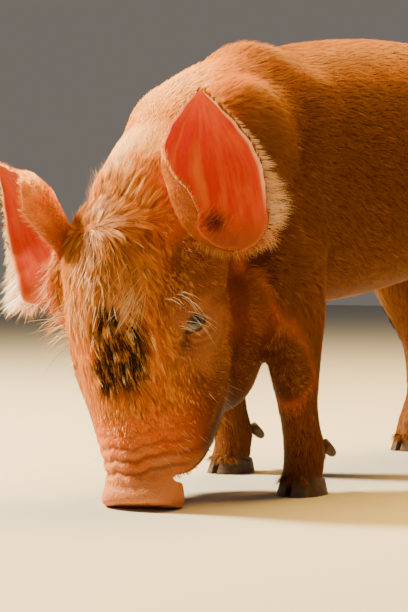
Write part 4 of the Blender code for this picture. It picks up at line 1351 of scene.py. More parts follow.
def skinMaterial():
    made = newMaterial("piglet skin")
    tree = made.node_tree
    colour, place = marksAndLightColour(tree, 0.42)
    fine = noise(tree, place, 420.0, 4.0, 0.6)
    pores = addNode(tree, "ShaderNodeTexVoronoi")
    pores.inputs["Scale"].default_value = 620.0
    tree.links.new(place, pores.inputs["Vector"])
    height = mathNode(tree, "MULTIPLY_ADD", pores.outputs["Distance"], 0.6, fine)
    shader = finishShader(tree, {"Roughness": 0.60, "Subsurface Weight": 0.15,
                                 "Subsurface Scale": 0.005, "Specular IOR Level": 0.14,
                                 "Specular Tint": (1.0, 0.62, 0.40, 1.0)})
    shader.inputs["Subsurface Radius"].default_value = (1.0, 0.35, 0.2)
    tint = mixColours(tree, mathNode(tree, "MULTIPLY_ADD", fine, 0.6, -0.1, clamp=True), colour,
                      (0.36, 0.12, 0.07, 1.0))
    tree.links.new(mixColours(tree, 0.35, colour, tint), shader.inputs["Base Color"])
    tree.links.new(bump(tree, height, 0.65, 0.0010), shader.inputs["Normal"])
    return made


def coatMaterial():
    made = newMaterial("piglet coat")
    tree = made.node_tree
    colour = marksAndLightColour(tree, attribute(tree, "tone"))[0]
    # gold tips give way where mud and painted shade lie
    clearOfSoilAndShade = mathNode(tree, "MULTIPLY_ADD", attribute(tree, "soil_and_shade"), -0.22, 0.22)
    tips = mixColours(tree, mathNode(tree, "MULTIPLY", attribute(tree, "tip"), clearOfSoilAndShade), colour,
                      coatColours["gold"])
    shader = finishShader(tree, {"Roughness": 0.50, "Specular IOR Level": 0.10,
                                 "Specular Tint": (1.0, 0.42, 0.08, 1.0)})
    tree.links.new(tips, shader.inputs["Base Color"])
    return made


def paleHairMaterial():
    made = newMaterial("pale bristles")
    tree = made.node_tree
    tone = attribute(tree, "tone")
    colour = ramp(tree, tone, ((0.0, (0.24, 0.075, 0.014)), (0.35, (0.62, 0.26, 0.07)),
                               (0.7, (0.82, 0.55, 0.28)), (1.0, (0.94, 0.82, 0.62))))
    shader = finishShader(tree, {"Roughness": 0.45, "Specular IOR Level": 0.3})
    tree.links.new(colour, shader.inputs["Base Color"])
    return made


# The lining glows with its own colour though it is no lamp: painted light through the thin ear. Its colour
# is dimmed and its glow set for each side, making lit and shaded copies for the two ears
def earInnerMaterial(side, light, glow):
    made = newMaterial("ear lining " + side)
    tree = made.node_tree
    spot = addNode(tree, "ShaderNodeUVMap", uv_map="earMap")
    parts = addNode(tree, "ShaderNodeSeparateXYZ")
    tree.links.new(spot.outputs["UV"], parts.inputs[0])
    curl = mathNode(tree, "MULTIPLY_ADD", parts.outputs["X"], 2.0, -1.0)
    share = parts.outputs["Y"]
    rim = mathNode(tree, "ABSOLUTE", curl)
    stretch = addNode(tree, "ShaderNodeMapping")
    stretch.inputs["Scale"].default_value = (6.0, 1.2, 1.0)
    tree.links.new(spot.outputs["UV"], stretch.inputs["Vector"])
    streak = noise(tree, stretch.outputs["Vector"], 2.6, 4.0, 0.6)
    fine = noise(tree, objectPlace(tree), 380.0, 3.0, 0.6)
    # the hollows between the ridges turn deeper red and the ridges stay orange: painted shade and light of
    # the folds
    hollow = mathNode(tree, "SUBTRACT", 1.0, attribute(tree, "ridge"))
    red = mathNode(tree, "MULTIPLY_ADD", streak, 2.2, -0.80)
    red = mathNode(tree, "MULTIPLY_ADD", hollow, 0.75, red)
    red = mathNode(tree, "MULTIPLY_ADD", curl, -0.45, red, clamp=True)
    base = mixColours(tree, red, (0.50, 0.085, 0.003, 1.0), (0.42, 0.016, 0.0005, 1.0))
    upper = mathNode(tree, "MULTIPLY_ADD", share, 5.0, -3.9, clamp=True)
    base = mixColours(tree, mathNode(tree, "MULTIPLY", upper, 0.55), base, (0.36, 0.10, 0.015, 1.0))
    lower = mathNode(tree, "MULTIPLY_ADD", share, -5.0, 1.30, clamp=True)
    base = mixColours(tree, mathNode(tree, "MULTIPLY", lower, 0.78), base, (0.24, 0.062, 0.014, 1.0))
    # the ear canal is painted near black: painted shade in the canal
    base = mixColours(tree, attribute(tree, "canal"), base, (0.030, 0.008, 0.005, 1.0))
    edge = mathNode(tree, "MULTIPLY_ADD", rim, 14.0, -13.0, clamp=True)
    rising = mathNode(tree, "MULTIPLY_ADD", share, 5.0, -0.9, clamp=True)
    edge = mathNode(tree, "MULTIPLY", edge, rising)
    base = mixColours(tree, mathNode(tree, "MULTIPLY", edge, 0.70), base, (0.85, 0.42, 0.16, 1.0))
    shader = finishShader(tree, {"Roughness": 0.50, "Subsurface Weight": 0.45,
                                 "Subsurface Scale": 0.006, "Specular IOR Level": 0.05,
                                 "Emission Strength": glow})
    shader.inputs["Subsurface Radius"].default_value = (1.0, 0.20, 0.08)
    lit = mixColours(tree, 1.0, base, (light, light, light, 1.0), "MULTIPLY")
    tree.links.new(lit, shader.inputs["Base Color"])
    tree.links.new(base, shader.inputs["Emission Color"])
    tree.links.new(bump(tree, fine, 0.35, 0.0006), shader.inputs["Normal"])
    return made


def hoofMaterial():
    made = newMaterial("horn")
    tree = made.node_tree
    place = objectPlace(tree)
    bands = addNode(tree, "ShaderNodeTexWave", wave_type="BANDS", bands_direction="Z")
    bands.inputs["Scale"].default_value = 95.0
    bands.inputs["Distortion"].default_value = 1.2
    bands.inputs["Detail"].default_value = 1.0
    tree.links.new(place, bands.inputs["Vector"])
    stain = noise(tree, place, 75.0, 5.0, 0.65)
    colour = ramp(tree, stain, ((0.30, (0.026, 0.016, 0.010)), (0.52, (0.075, 0.043, 0.024)),
                                (0.80, (0.170, 0.098, 0.052))))
    shader = finishShader(tree, {"Roughness": 0.46, "Specular IOR Level": 0.35})
    tree.links.new(colour, shader.inputs["Base Color"])
    rough = mathNode(tree, "MULTIPLY_ADD", bands.outputs["Fac"], 0.35, stain)
    tree.links.new(bump(tree, rough, 0.35, 0.0006), shader.inputs["Normal"])
    return made


def eyeMaterial():
    made = newMaterial("eyeball")
    tree = made.node_tree
    angle = attribute(tree, "fromAxis")
    fibre = noise(tree, objectPlace(tree), 900.0, 2.0, 0.5)
    wobble = mathNode(tree, "MULTIPLY_ADD", fibre, 0.16, -0.08)
    reach = mathNode(tree, "DIVIDE", mathNode(tree, "ADD", angle, wobble), 1.4)
    colour = ramp(tree, reach, ((0.0, (0.003, 0.003, 0.003)), (0.20, (0.004, 0.004, 0.004)),
                                (0.26, (0.055, 0.036, 0.020)), (0.37, (0.130, 0.095, 0.060)),
                                (0.45, (0.040, 0.028, 0.020)), (0.53, (0.36, 0.32, 0.26)),
                                (0.75, (0.60, 0.50, 0.42))))
    shader = finishShader(tree, {"Roughness": 0.14, "Coat Weight": 0.6, "Coat Roughness": 0.03,
                                 "Specular IOR Level": 0.5})
    tree.links.new(colour, shader.inputs["Base Color"])
    return made


def lidMaterial():
    made = newMaterial("lid margin")
    tree = made.node_tree
    mottle = noise(tree, objectPlace(tree), 260.0, 3.0, 0.6)
    colour = ramp(tree, mottle, ((0.3, (0.085, 0.022, 0.012)), (0.7, (0.260, 0.080, 0.045))))
    shader = finishShader(tree, {"Roughness": 0.38, "Specular IOR Level": 0.35})
    tree.links.new(colour, shader.inputs["Base Color"])
    tree.links.new(bump(tree, mottle, 0.3, 0.0003), shader.inputs["Normal"])
    return made


finishes = {
    "skin": skinMaterial(),
    "coat": coatMaterial(),
    "pale": paleHairMaterial(),
    # the left lining is brighter and glows more than the right: painted light and shade of each side
    "earInnerLeft": earInnerMaterial("left", 0.9, 0.92),
    "earInnerRight": earInnerMaterial("right", 0.62, 0.62),
    "hoof": hoofMaterial(),
    "eye": eyeMaterial(),
    "lid": lidMaterial(),
}
print("materials made")


# Coat

coat = {
    "seed": 11,
    "sink": 0.0006,
    "mapPatch": 0.003,
    "bodyLength": 0.0115,
    "backLonger": 0.0035,
    "legShorter": 0.30,
    "feetLonger": 0.0020,
    "faceLength": 0.0064,
    "foreheadLonger": 0.0105,
    "muzzleShorter": 0.52,
    "lift": 0.13,
    "foreheadLift": 0.09,
    "bodyWidth": 0.00042,
    "headNarrower": 0.00018,
}


def samplePoints(places, normals, corners, density, count, draw):
    first = places[corners[:, 0]]
    second = places[corners[:, 1]]
    third = places[corners[:, 2]]
    area = 0.5 * np.linalg.norm(np.cross(second - first, third - first), axis=1)
    ends = np.cumsum(area * density[corners].mean(axis=1))
    picks = np.searchsorted(ends, (np.arange(count) + draw.random(count)) / count * ends[-1])
    picks = np.minimum(picks, len(corners) - 1)
    u = draw.random(count)
    v = draw.random(count)
    over = u + v > 1.0
    u[over] = 1.0 - u[over]
    v[over] = 1.0 - v[over]
    shares = (1.0 - u - v, u, v)
    chosen = corners[picks]
    spots = sum(places[chosen[:, k]] * shares[k][:, None] for k in range(3))
    up = sum(normals[chosen[:, k]] * shares[k][:, None] for k in range(3))
    return spots, unit(up)


def unit(vectors):
    return vectors / np.maximum(np.linalg.norm(vectors, axis=1, keepdims=True), 1e-9)


def wander(points, scale, seed):
    # a smooth field of small sideways leanings
    a = points * scale
    return np.stack((np.sin(a[:, 1] * 1.3 + 2.1 * np.sin(a[:, 2] + seed) + seed),
                     np.sin(a[:, 2] * 1.1 + 1.7 * np.sin(a[:, 0] + 2.0 * seed) + 1.3 * seed),
                     np.sin(a[:, 0] * 1.2 + 1.9 * np.sin(a[:, 1] + 3.0 * seed) + 0.7 * seed)), axis=1)


def coatLie(points):
    # which way the hair points before it is laid on the surface
    local = headLocal(points)
    share = headShare(points)[:, None]
    height = points[:, 2]
    body = np.zeros_like(points)
    body[:, 1] = 1.0
    body[:, 2] = -0.45 * smoothStep(0.30, 0.18, height)
    legWeight = smoothStep(0.155, 0.105, height)
    body[:, 1] *= 1.0 - 0.85 * legWeight
    body[:, 2] -= 1.2 * legWeight
    tailWeight = smoothStep(0.332, 0.345, points[:, 1])
    body[:, 2] -= 1.5 * tailWeight
    face = np.zeros_like(points)
    apart = local - np.array(marksAndLightPlan["whorl"])
    front = smoothStep(0.030, 0.005, local[:, 1])
    below = smoothStep(0.012, -0.012, apart[:, 2])
    face[:, 0] = 0.45 * np.sign(apart[:, 0]) * smoothStep(0.0, 0.03, np.abs(apart[:, 0])) * front
    face[:, 0] -= 6.0 * local[:, 0] * smoothStep(0.13, 0.08, local[:, 2]) * front
    face[:, 1] = 1.0 - front + 0.35 * (1.0 - below)
    face[:, 2] = -1.0 * below * (0.25 + 0.75 * front) + 0.9 * (1.0 - below)
    return unit(headDirection(face) * share + body * (1.0 - share))


def coatPlan(points):
    # length, lift and width of the hair, and how thick it grows
    local = headLocal(points)
    share = headShare(points)
    height = points[:, 2]
    length = np.full(len(points), coat["bodyLength"])
    length += coat["backLonger"] * smoothStep(0.24, 0.31, height)
    length *= 1.0 - coat["legShorter"] * smoothStep(0.150, 0.080, height)
    front = smoothStep(0.034, 0.004, local[:, 1])
    forehead = front * smoothStep(0.040, 0.115, local[:, 2])
    forehead *= smoothStep(0.040, 0.022, np.abs(local[:, 0]))
    onHead = coat["faceLength"] + coat["foreheadLonger"] * forehead
    swirl = np.linalg.norm(local - np.array(marksAndLightPlan["whorl"]), axis=1)
    onHead *= 0.55 + 0.45 * smoothStep(0.002, 0.016, swirl)
    onHead *= 1.0 - coat["muzzleShorter"] * smoothStep(0.085, 0.030, local[:, 2])
    grow = np.ones(len(points))
    for side in (1.0, -1.0):
        eye = np.array(eyes["place"]) * np.array((side, 1.0, 1.0))
        away = np.linalg.norm(local - eye, axis=1)
        onHead *= 0.40 + 0.60 * smoothStep(0.010, 0.030, away)
        grow *= smoothStep(0.0100, 0.0240, away) * 0.55 + 0.45 * smoothStep(0.0100, 0.0120, away)
    length = length * (1.0 - share) + onHead * share
    bare = smoothStep(0.0190, 0.044, local[:, 2])
    muzzle = (0.45 + 0.55 * bare) * smoothStep(0.017, 0.022, local[:, 2])
    grow *= 1.0 - share + share * muzzle
    length = length + coat["feetLonger"] * smoothStep(0.030, 0.018, height)
    grow *= smoothStep(0.0085, 0.0105, height) * (1.0 + 0.6 * smoothStep(0.032, 0.016, height))
    lift = coat["lift"] + coat["foreheadLift"] * forehead * share
    width = coat["bodyWidth"] - coat["headNarrower"] * share
    return length, lift, width, grow


def hairLine(hairs, share, picks=None):
    if picks is None:
        picks = slice(None)
    rise = hairs["lift"][picks] * (share - 0.55 * share * share) * 2.0
    lean = hairs["lie"][picks] * share + hairs["up"][picks] * rise[:, None]
    if "bend" in hairs:
        lean = lean + hairs["bend"][picks] * share ** 2
    return hairs["base"][picks] + lean * hairs["length"][picks][:, None]


hairShapes = {
    "short": ((0.0, 0.0), (0.48, 1.0), (1.0, 0.0)),
    "long": ((0.0, 0.8), (0.30, 1.0), (0.66, 0.7), (1.0, 0.0)),
    "bristle": ((0.0, 0.8), (0.22, 1.0), (0.45, 0.9), (0.72, 0.6), (1.0, 0.0)),
}


def bladeMesh(name, hairs, finish, shape="short"):
    # flat hairs that rise from the root and bend down along the body
    count = len(hairs["root"])
    up = hairs["up"]
    rising = np.sum(hairs["lie"] * up, axis=1, keepdims=True)
    hairs["lie"] = unit(hairs["lie"] - up * rising * hairs.get("flat", 1.0))
    hairs["base"] = hairs["root"] - up * coat["sink"]
    sideways = unit(np.cross(hairs["lie"], up))
    columns = []
    tips = []
    edges = []
    for share, wide in hairShapes[shape]:
        middle = hairLine(hairs, share)
        if "clump" in hairs:
            gathered = hairLine(hairs, share, hairs["clump"])
            middle += (gathered - middle) * (hairs["gather"] * share ** 1.3)[:, None]
        if wide == 0.0:
            row = (middle,)
        else:
            half = (0.5 * wide * hairs["width"])[:, None] * sideways
            row = (middle - half, middle + half)
        edges.append(list(range(len(columns), len(columns) + len(row))))
        columns += row
        tips += [share] * len(row)
    pattern = []
    for low, high in zip(edges, edges[1:]):
        if len(low) == 2:
            pattern.append((low[0], low[1], high[-1]))
        if len(high) == 2:
            pattern.append((low[0], high[1], high[0]))
    perBlade = len(columns)
    places = np.stack(columns, axis=1).reshape(-1, 3)
    places[:, 2] = np.maximum(places[:, 2], 0.0002)
    starts = (np.arange(count) * perBlade)[:, None, None]
    triangles = (np.array(pattern)[None, :, :] + starts).reshape(-1, 3)
    mesh = meshFromArrays(name, places, triangles)
    addValues(mesh, "tone", np.repeat(hairs["tone"], perBlade))
    addValues(mesh, "tip", np.tile(np.array(tips), count))
    addMarksAndPaintedLight(mesh, np.repeat(hairs["root"], perBlade, axis=0), hairs.get("painted_shade", 0.0))
    layer = mesh.uv_layers.new(name="OFBake")
    offsets = np.zeros((perBlade, 2))
    offsets[:, 1] = np.array(tips) * coat["mapPatch"]
    offsets[:, 0] = (np.arange(perBlade) % 2 - 0.5) * coat["mapPatch"]
    perVertex = (hairs["spot"][:, None, :] + offsets[None, :, :]).reshape(-1, 2)
    layer.data.foreach_set("uv", perVertex[triangles.ravel()].astype(np.float32).ravel())
    mesh.shade_smooth()
    mesh.materials.append(finish)
    return addObject(name, mesh)


def gatherClumps(roots, perClump, draw):
    # each hair leans to the nearest of a few leaders
    count = len(roots)
    leaders = np.sort(draw.choice(count, max(count // perClump, 1), replace=False))
    tree = KDTree(len(leaders))
    for index, leader in enumerate(leaders):
        tree.insert(roots[leader], index)
    tree.balance()
    return leaders[np.array([tree.find(root)[1] for root in roots])]


def unwrapRound(points, axis, origin, length, start=0.0, share=1.0):
    # angle round the part and distance along it
    apart = points - np.array(origin)
    along = apart @ np.array(axis)
    sideAxis = np.array((1.0, 0.0, 0.0))
    third = np.cross(np.array(axis), sideAxis)
    angle = np.arctan2(apart @ third, apart @ sideAxis) / (2.0 * math.pi) + 0.5
    u = 0.01 + start + angle * share * 0.97
    v = 0.01 + 0.97 * np.clip(along / length, 0.0, 1.0)
    return np.stack((u, v), axis=1)


# piece, hairs, shape, hairs a clump, gather, spread of tone by clump
coatPieces = (
    ("coat_face", 39000, "long", 9, 0.82, 0.38),
    ("coat_cheek_left", 80000, "short", 7, 0.30, 0.14),
    ("coat_cheek_right", 62000, "short", 7, 0.30, 0.14),
    ("coat_neck", 50000, "short", 8, 0.30, 0.08),
    ("coat_trunk_left", 84000, "short", 8, 0.28, 0.06),
    ("coat_trunk_right", 62000, "short", 8, 0.28, 0.07),
    ("coat_forelegs", 80000, "short", 8, 0.28, 0.07),
    ("coat_hindlegs", 56000, "short", 8, 0.28, 0.07),
    ("coat_brow", 39000, "long", 9, 0.82, 0.38),
)


def regionOf(points):
    # the place of each point's piece in the list above
    local = headLocal(points)
    region = np.where(points[:, 0] > 0.0, 4, 5)
    region[points[:, 1] < -0.045] = 3
    region[(points[:, 2] < 0.132) & (points[:, 1] < 0.12)] = 6
    region[(points[:, 2] < 0.150) & (points[:, 1] >= 0.12)] = 7
    region[points[:, 1] > 0.338] = 7
    onHead = headShare(points) > 0.5
    region[onHead] = np.where(local[onHead, 0] > 0.0, 1, 2)
    front = (local[:, 1] < 0.016) & (local[:, 2] > 0.045) & (np.abs(local[:, 0]) < 0.047)
    region[onHead & front] = np.where(local[onHead & front, 2] > 0.112, 8, 0)
    return region


def coatMap(region, points):
    if region < 3 or region == 8:
        return unwrapRound(headLocal(points), (0, 0, 1), (0, 0.03, 0.0), 0.21)
    if region == 3:
        return unwrapRound(points, (0, 1, 0), (0, -0.16, 0.2), 0.15)
    if region in (4, 5):
        return unwrapRound(points, (0, 1, 0), (0, -0.05, 0.21), 0.41)
    spots = np.zeros((len(points), 2))
    names = ("foreleg_left", "foreleg_right") if region == 6 else ("hindleg_left", "hindleg_right")
    for index, name in enumerate(names):
        foot = legs["feet"][name]["foot"]
        mine = (points[:, 0] > 0.0) == (foot[0] > 0.0)
        spots[mine] = unwrapRound(points[mine], (0, 0, 1), (*foot, 0.0), 0.30, 0.5 * index, 0.5)
    return spots


def growCoat(skin):
    draw = np.random.default_rng(coat["seed"])
    places, normals, corners = meshArrays(skin.data)
    grow = coatPlan(places)[3]
    region = regionOf(places[corners].mean(axis=1))
    pieces = []
    for number, (name, count, shape, perClump, gather, spread) in enumerate(coatPieces):
        mine = corners[region == number]
        roots, up = samplePoints(places, normals, mine, grow, count, draw)
        length, lift, width = coatPlan(roots)[:3]
        lie = coatLie(roots) + 0.17 * wander(roots, 150.0, 1.0) + 0.10 * wander(roots, 420.0, 2.0)
        clump = gatherClumps(roots, perClump, draw)
        lean = draw.normal(0.0, 0.11 if shape == "long" else 0.09, (count, 3))
        lie = lie + lean[clump] + draw.normal(0.0, 0.07, (count, 3))
        patch = wander(roots, 110.0, 4.0)[:, 0] + 0.6 * wander(roots, 330.0, 5.0)[:, 1]
        clumpTone = draw.normal(0.46 if shape == "long" else 0.385, spread, count)
        ownTone = draw.normal(0.0, 0.06, count)
        tone = clumpTone[clump] + (0.07 if shape == "long" else 0.03) * patch + ownTone
        local = headLocal(roots)
        apart = np.linalg.norm(local - np.array(marksAndLightPlan["whorl"]), axis=1)
        # hair round the whorl is darker: painted shade at the parting
        tone = tone - 0.14 * smoothStep(0.040, 0.012, apart)
        pale = (draw.random(count) < 0.12)[clump] & (shape == "long")
        pale &= (local[:, 2] > 0.085) & (np.abs(local[:, 0]) < 0.027)
        tone = np.where(pale, tone + 0.45, np.minimum(tone, 0.86 if shape == "long" else 0.76))
        hairs = {
            "root": roots, "up": up, "lie": lie,
            "length": length * draw.uniform(0.62, 1.18, count),
            "lift": lift * draw.uniform(0.55, 1.35, count),
            "width": width * np.ones(count),
            "tone": np.clip(tone, 0.0, 1.0),
            "spot": coatMap(number, roots),
            "clump": clump,
            "gather": gather * draw.uniform(0.6, 1.1, count),
        }
        pieces.append(bladeMesh(name, hairs, finishes["coat"], shape))
    print("coat grown:", sum(len(piece.data.polygons) for piece in pieces), "triangles")
    return pieces


# Longer hairs of the face: place, spread, direction, length, count, tone, bend
# given on the left side in the head's own axes and mirrored to the right

bristles = {
    "seed": 23,
    "groups": (
        ("brow", (0.0250, -0.012, 0.136), (0.010, 0.006, 0.011), (-0.42, -0.42, -0.60), 0.0215, 120,
         0.60, (-0.35, 0.10, -0.80)),
        ("forelock", (0.006, -0.018, 0.150), (0.020, 0.006, 0.026), (0.10, -0.36, -0.80), 0.0190, 110,
         0.36, (0.0, 0.12, -0.50)),
        ("browOuter", (0.033, 0.000, 0.130), (0.007, 0.008, 0.007), (0.25, -0.55, -0.45), 0.0140, 60,
         0.52, (0.35, 0.15, -0.45)),
        ("feelers", (0.0345, 0.014, 0.1275), (0.007, 0.012, 0.003), (0.80, -0.42, 0.14), 0.0235, 19,
         1.00, (0.10, 0.20, -2.10)),
        ("feelersLow", (0.0400, 0.006, 0.112), (0.004, 0.006, 0.008), (0.80, -0.55, -0.15), 0.0200, 6,
         0.85, (0.20, 0.35, -0.85)),
        ("underEye", (0.0370, 0.006, 0.093), (0.006, 0.008, 0.005), (0.60, -0.50, -0.30), 0.0085, 12,
         0.80, (0.20, 0.10, -0.50)),
        ("cheek", (0.045, 0.042, 0.062), (0.010, 0.014, 0.016), (0.45, -0.10, -0.65), 0.0110, 16,
         0.85, (0.10, 0.30, -0.40)),
        ("snoutSide", (0.030, 0.006, 0.034), (0.010, 0.016, 0.012), (0.65, -0.35, -0.45), 0.0090, 30,
         0.85, (0.10, 0.15, -0.45)),
        ("chin", (0.018, 0.048, 0.030), (0.014, 0.010, 0.008), (0.30, 0.35, -0.60), 0.0085, 30,
         0.75, (0.05, 0.20, -0.30)),
        ("snoutTop", (0.008, -0.018, 0.050), (0.014, 0.006, 0.018), (0.10, -0.45, -0.75), 0.0055, 70,
         0.42, (0.0, 0.10, -0.40)),
        ("jaw", (0.040, 0.034, 0.070), (0.010, 0.022, 0.024), (0.30, -0.10, -0.80), 0.0085, 60,
         0.22, (0.05, 0.20, -0.30)),
        ("poll", (0.014, 0.034, 0.197), (0.018, 0.014, 0.008), (-0.15, 0.10, 0.95), 0.0115, 90,
         0.66, (0.05, 0.45, 0.10)),
        ("earFront", (0.052, 0.010, 0.156), (0.008, 0.012, 0.016), (0.60, -0.45, -0.25), 0.0105, 70,
         0.28, (0.20, 0.10, -0.55)),
    ),
    "far": (      # only on the right: place, spread, direction, length, count, tone, bend
        ((-0.049, 0.006, 0.117), (0.004, 0.010, 0.009), (-0.85, -0.30, -0.20), 0.0245, 36,
         0.56, (0.0, -0.1, -0.9)),
        ((-0.050, 0.016, 0.143), (0.005, 0.010, 0.014), (-0.62, -0.42, -0.60), 0.0120, 170,
         0.60, (-0.1, 0.1, -0.7)),
        ((-0.050, 0.010, 0.090), (0.004, 0.012, 0.014), (-0.60, -0.30, -0.70), 0.0075, 60,
         0.55, (0.0, 0.1, -0.5)),
        ((-0.043, 0.048, 0.208), (0.008, 0.008, 0.006), (-0.10, 0.00, 1.00), 0.0120, 70,
         0.62, (-0.1, 0.2, 0.3)),
    ),
    "width": 0.00027,
    "bend": 0.45,
    "thick": {"feelers": 1.7, "feelersLow": 1.3, "brow": 1.5, "jaw": 0.8},
    "lashCount": 44,
    "lashLength": 0.0075,
    "wisps": ((-0.031, 0.060, 0.213), (-0.027, 0.068, 0.220)),
    "lashWidth": 0.6,
    "scatter": 0.55,         # spread of the places, in shares of a group's size
    "aimJitter": 0.16,
    "farJitter": 0.20,
    "outward": 0.35,
    "wispScatter": 0.0014,
    "wispJitter": 0.07,
    "wispCount": 9,
    "wispLength": 0.0170,
}


def bristleItem(items, root, up, lie, length, bend, tone, width=1.0):
    items.append((tuple(root), tuple(up), tuple(lie), length, tuple(bend), tone, width))


def itemHairs(items, width, bend, mapped):
    root, up, lie, length, lean, tone, thick = (np.array(column) for column in zip(*items))
    return {
        "root": root, "up": up, "lie": lie, "length": length, "bend": bend * lean,
        "tone": np.clip(tone, 0.0, 1.0), "width": width * thick,
        "lift": np.zeros(len(items)), "flat": 0.0, "spot": mapped(root),
    }


def bristleMap(points):
    return unwrapRound(headLocal(points), (0, 0, 1), (0, 0.03, 0.0), 0.30)


def scattered(draw, spot, spread):
    return Vector([s + w * draw.gauss(0.0, bristles["scatter"]) for s, w in zip(spot, spread)])


def shaken(draw, size):
    return Vector([draw.gauss(0.0, size) for axis in range(3)])


def growBristles(skin):
    draw = random.Random(bristles["seed"])
    tree = BVHTree.FromObject(skin, bpy.context.evaluated_depsgraph_get())
    place = headFrame()
    turn = place.to_3x3()
    items = []
    for side in (1.0, -1.0):
        mirror = Vector((side, 1.0, 1.0))
        for name, spot, spread, aim, length, count, tone, bend in bristles["groups"]:
            for index in range(count):
                local = scattered(draw, spot, spread) * mirror
                root, normal = tree.find_nearest(place @ local)[:2]
                jitter = shaken(draw, bristles["aimJitter"])
                lie = turn @ (Vector(aim) * mirror + jitter)
                lie = (lie + normal * bristles["outward"]).normalized()
                bristleItem(items, root, normal, lie, length * draw.uniform(0.55, 1.15),
                            turn @ (Vector(bend) * mirror) * draw.uniform(0.35, 1.15),
                            tone + draw.gauss(0.0, 0.13), bristles["thick"].get(name, 1.0)
                            * (draw.uniform(0.6, 1.0) if length > 0.010 else draw.uniform(0.35, 0.65)))
        sideName = "left" if side > 0.0 else "right"
        axis, longWay = eyeAxes(sideName)[1:3]
        for index in range(bristles["lashCount"]):
            angle = math.pi * draw.uniform(0.10, 0.92)
            root, outward = lidPoint(sideName, angle, 1.10, 0.0012)
            middle = lidPoint(sideName, angle, 0.4, 0.0)[0]
            lie = (root - middle).normalized() * 0.6 + axis * 0.7
            lie = (lie + longWay * draw.gauss(0.15, 0.2)).normalized()
            bristleItem(items, root, outward, lie, bristles["lashLength"] * draw.uniform(0.6, 1.2),
                        turn @ Vector((0.15 * side, -0.1, 0.30)), 0.45 + draw.gauss(0.0, 0.22),
                        bristles["lashWidth"])
    for spot, spread, aim, length, count, tone, bend in bristles["far"]:
        for index in range(count):
            local = scattered(draw, spot, spread)
            root, normal = tree.find_nearest(place @ local)[:2]
            lie = turn @ (Vector(aim) + shaken(draw, bristles["farJitter"]))
            bristleItem(items, root, normal, lie.normalized(), length * draw.uniform(0.45, 1.1),
                        turn @ Vector(bend) * draw.uniform(0.1, 1.1), tone + draw.gauss(0.0, 0.18),
                        1.3 if length > 0.020 else 0.8)
    for spot in bristles["wisps"]:
        for index in range(bristles["wispCount"]):
            near = place @ Vector(spot) + shaken(draw, bristles["wispScatter"])
            root, normal = tree.find_nearest(near)[:2]
            lie = (normal * 0.9 + Vector((0.05, 0.15, 0.5))
                   + shaken(draw, bristles["wispJitter"])).normalized()
            bristleItem(items, root, normal, lie, bristles["wispLength"] * draw.uniform(0.6, 1.1),
                        Vector((0.12, 0.15, 0.15)), 0.10 + 0.2 * draw.random())
    hairs = itemHairs(items, bristles["width"], bristles["bend"], bristleMap)
    print("bristles:", len(items))
    return bladeMesh("bristles", hairs, finishes["pale"], "bristle")


# Build

def buildSkin():
    skin = fuseSkin()
    shapeFace(skin)
    for side in ("left", "right"):
        centre = headPoint(side, eyes["place"])
        socket = eyes["radius"] + 0.0001
        cutFrom(skin, ellipsoid("socket", centre, (socket, socket, socket)))
        cutFrom(skin, lidOpening(side))
        place = discFrame()
        sign = signOf(side)
        spot = place @ Vector((sign * disc["nostrilSpacing"], -0.001, 0.0005))
        turn = place.to_3x3().to_4x4() @ Matrix.Rotation(math.radians(sign * disc["nostrilTurn"]), 4, "Z")
        cutFrom(skin, ellipsoid("nostril", spot, disc["nostrilRadii"], turn, 3))
    cutFrom(skin, mouthCutter())
    flattenSoles(skin)
    hoofTops(skin)
    skin.data.materials.clear()
    skin.data.materials.append(finishes["skin"])
    skin.data.shade_smooth()
    addMarksAndPaintedLight(skin.data, meshArrays(skin.data)[0])
    print("skin shaped:", len(skin.data.polygons), "faces")
    return skin


fringe = {
    "seed": 7,
    "rear": 1900,
    "locks": 104,
    "length": 0.0185,
    "reach": 0.1028,
    "width": 0.00024,
    "bend": 0.5,
    "under": 900,
    "front": 520,
    "inside": 420,
    "canal": 200,
    "back": 20000,
    "backLength": 0.0058,
    "backWidth": 0.00028,
    "frontLength": 0.0036,
    "underLength": 0.0085,
    "canalLength": 0.0085,
    "insideLength": 0.0042,
    # painted shade on the backs of the ears, more on the left ear
    "painted_shade": {"left": 0.60, "right": 0.12},
}


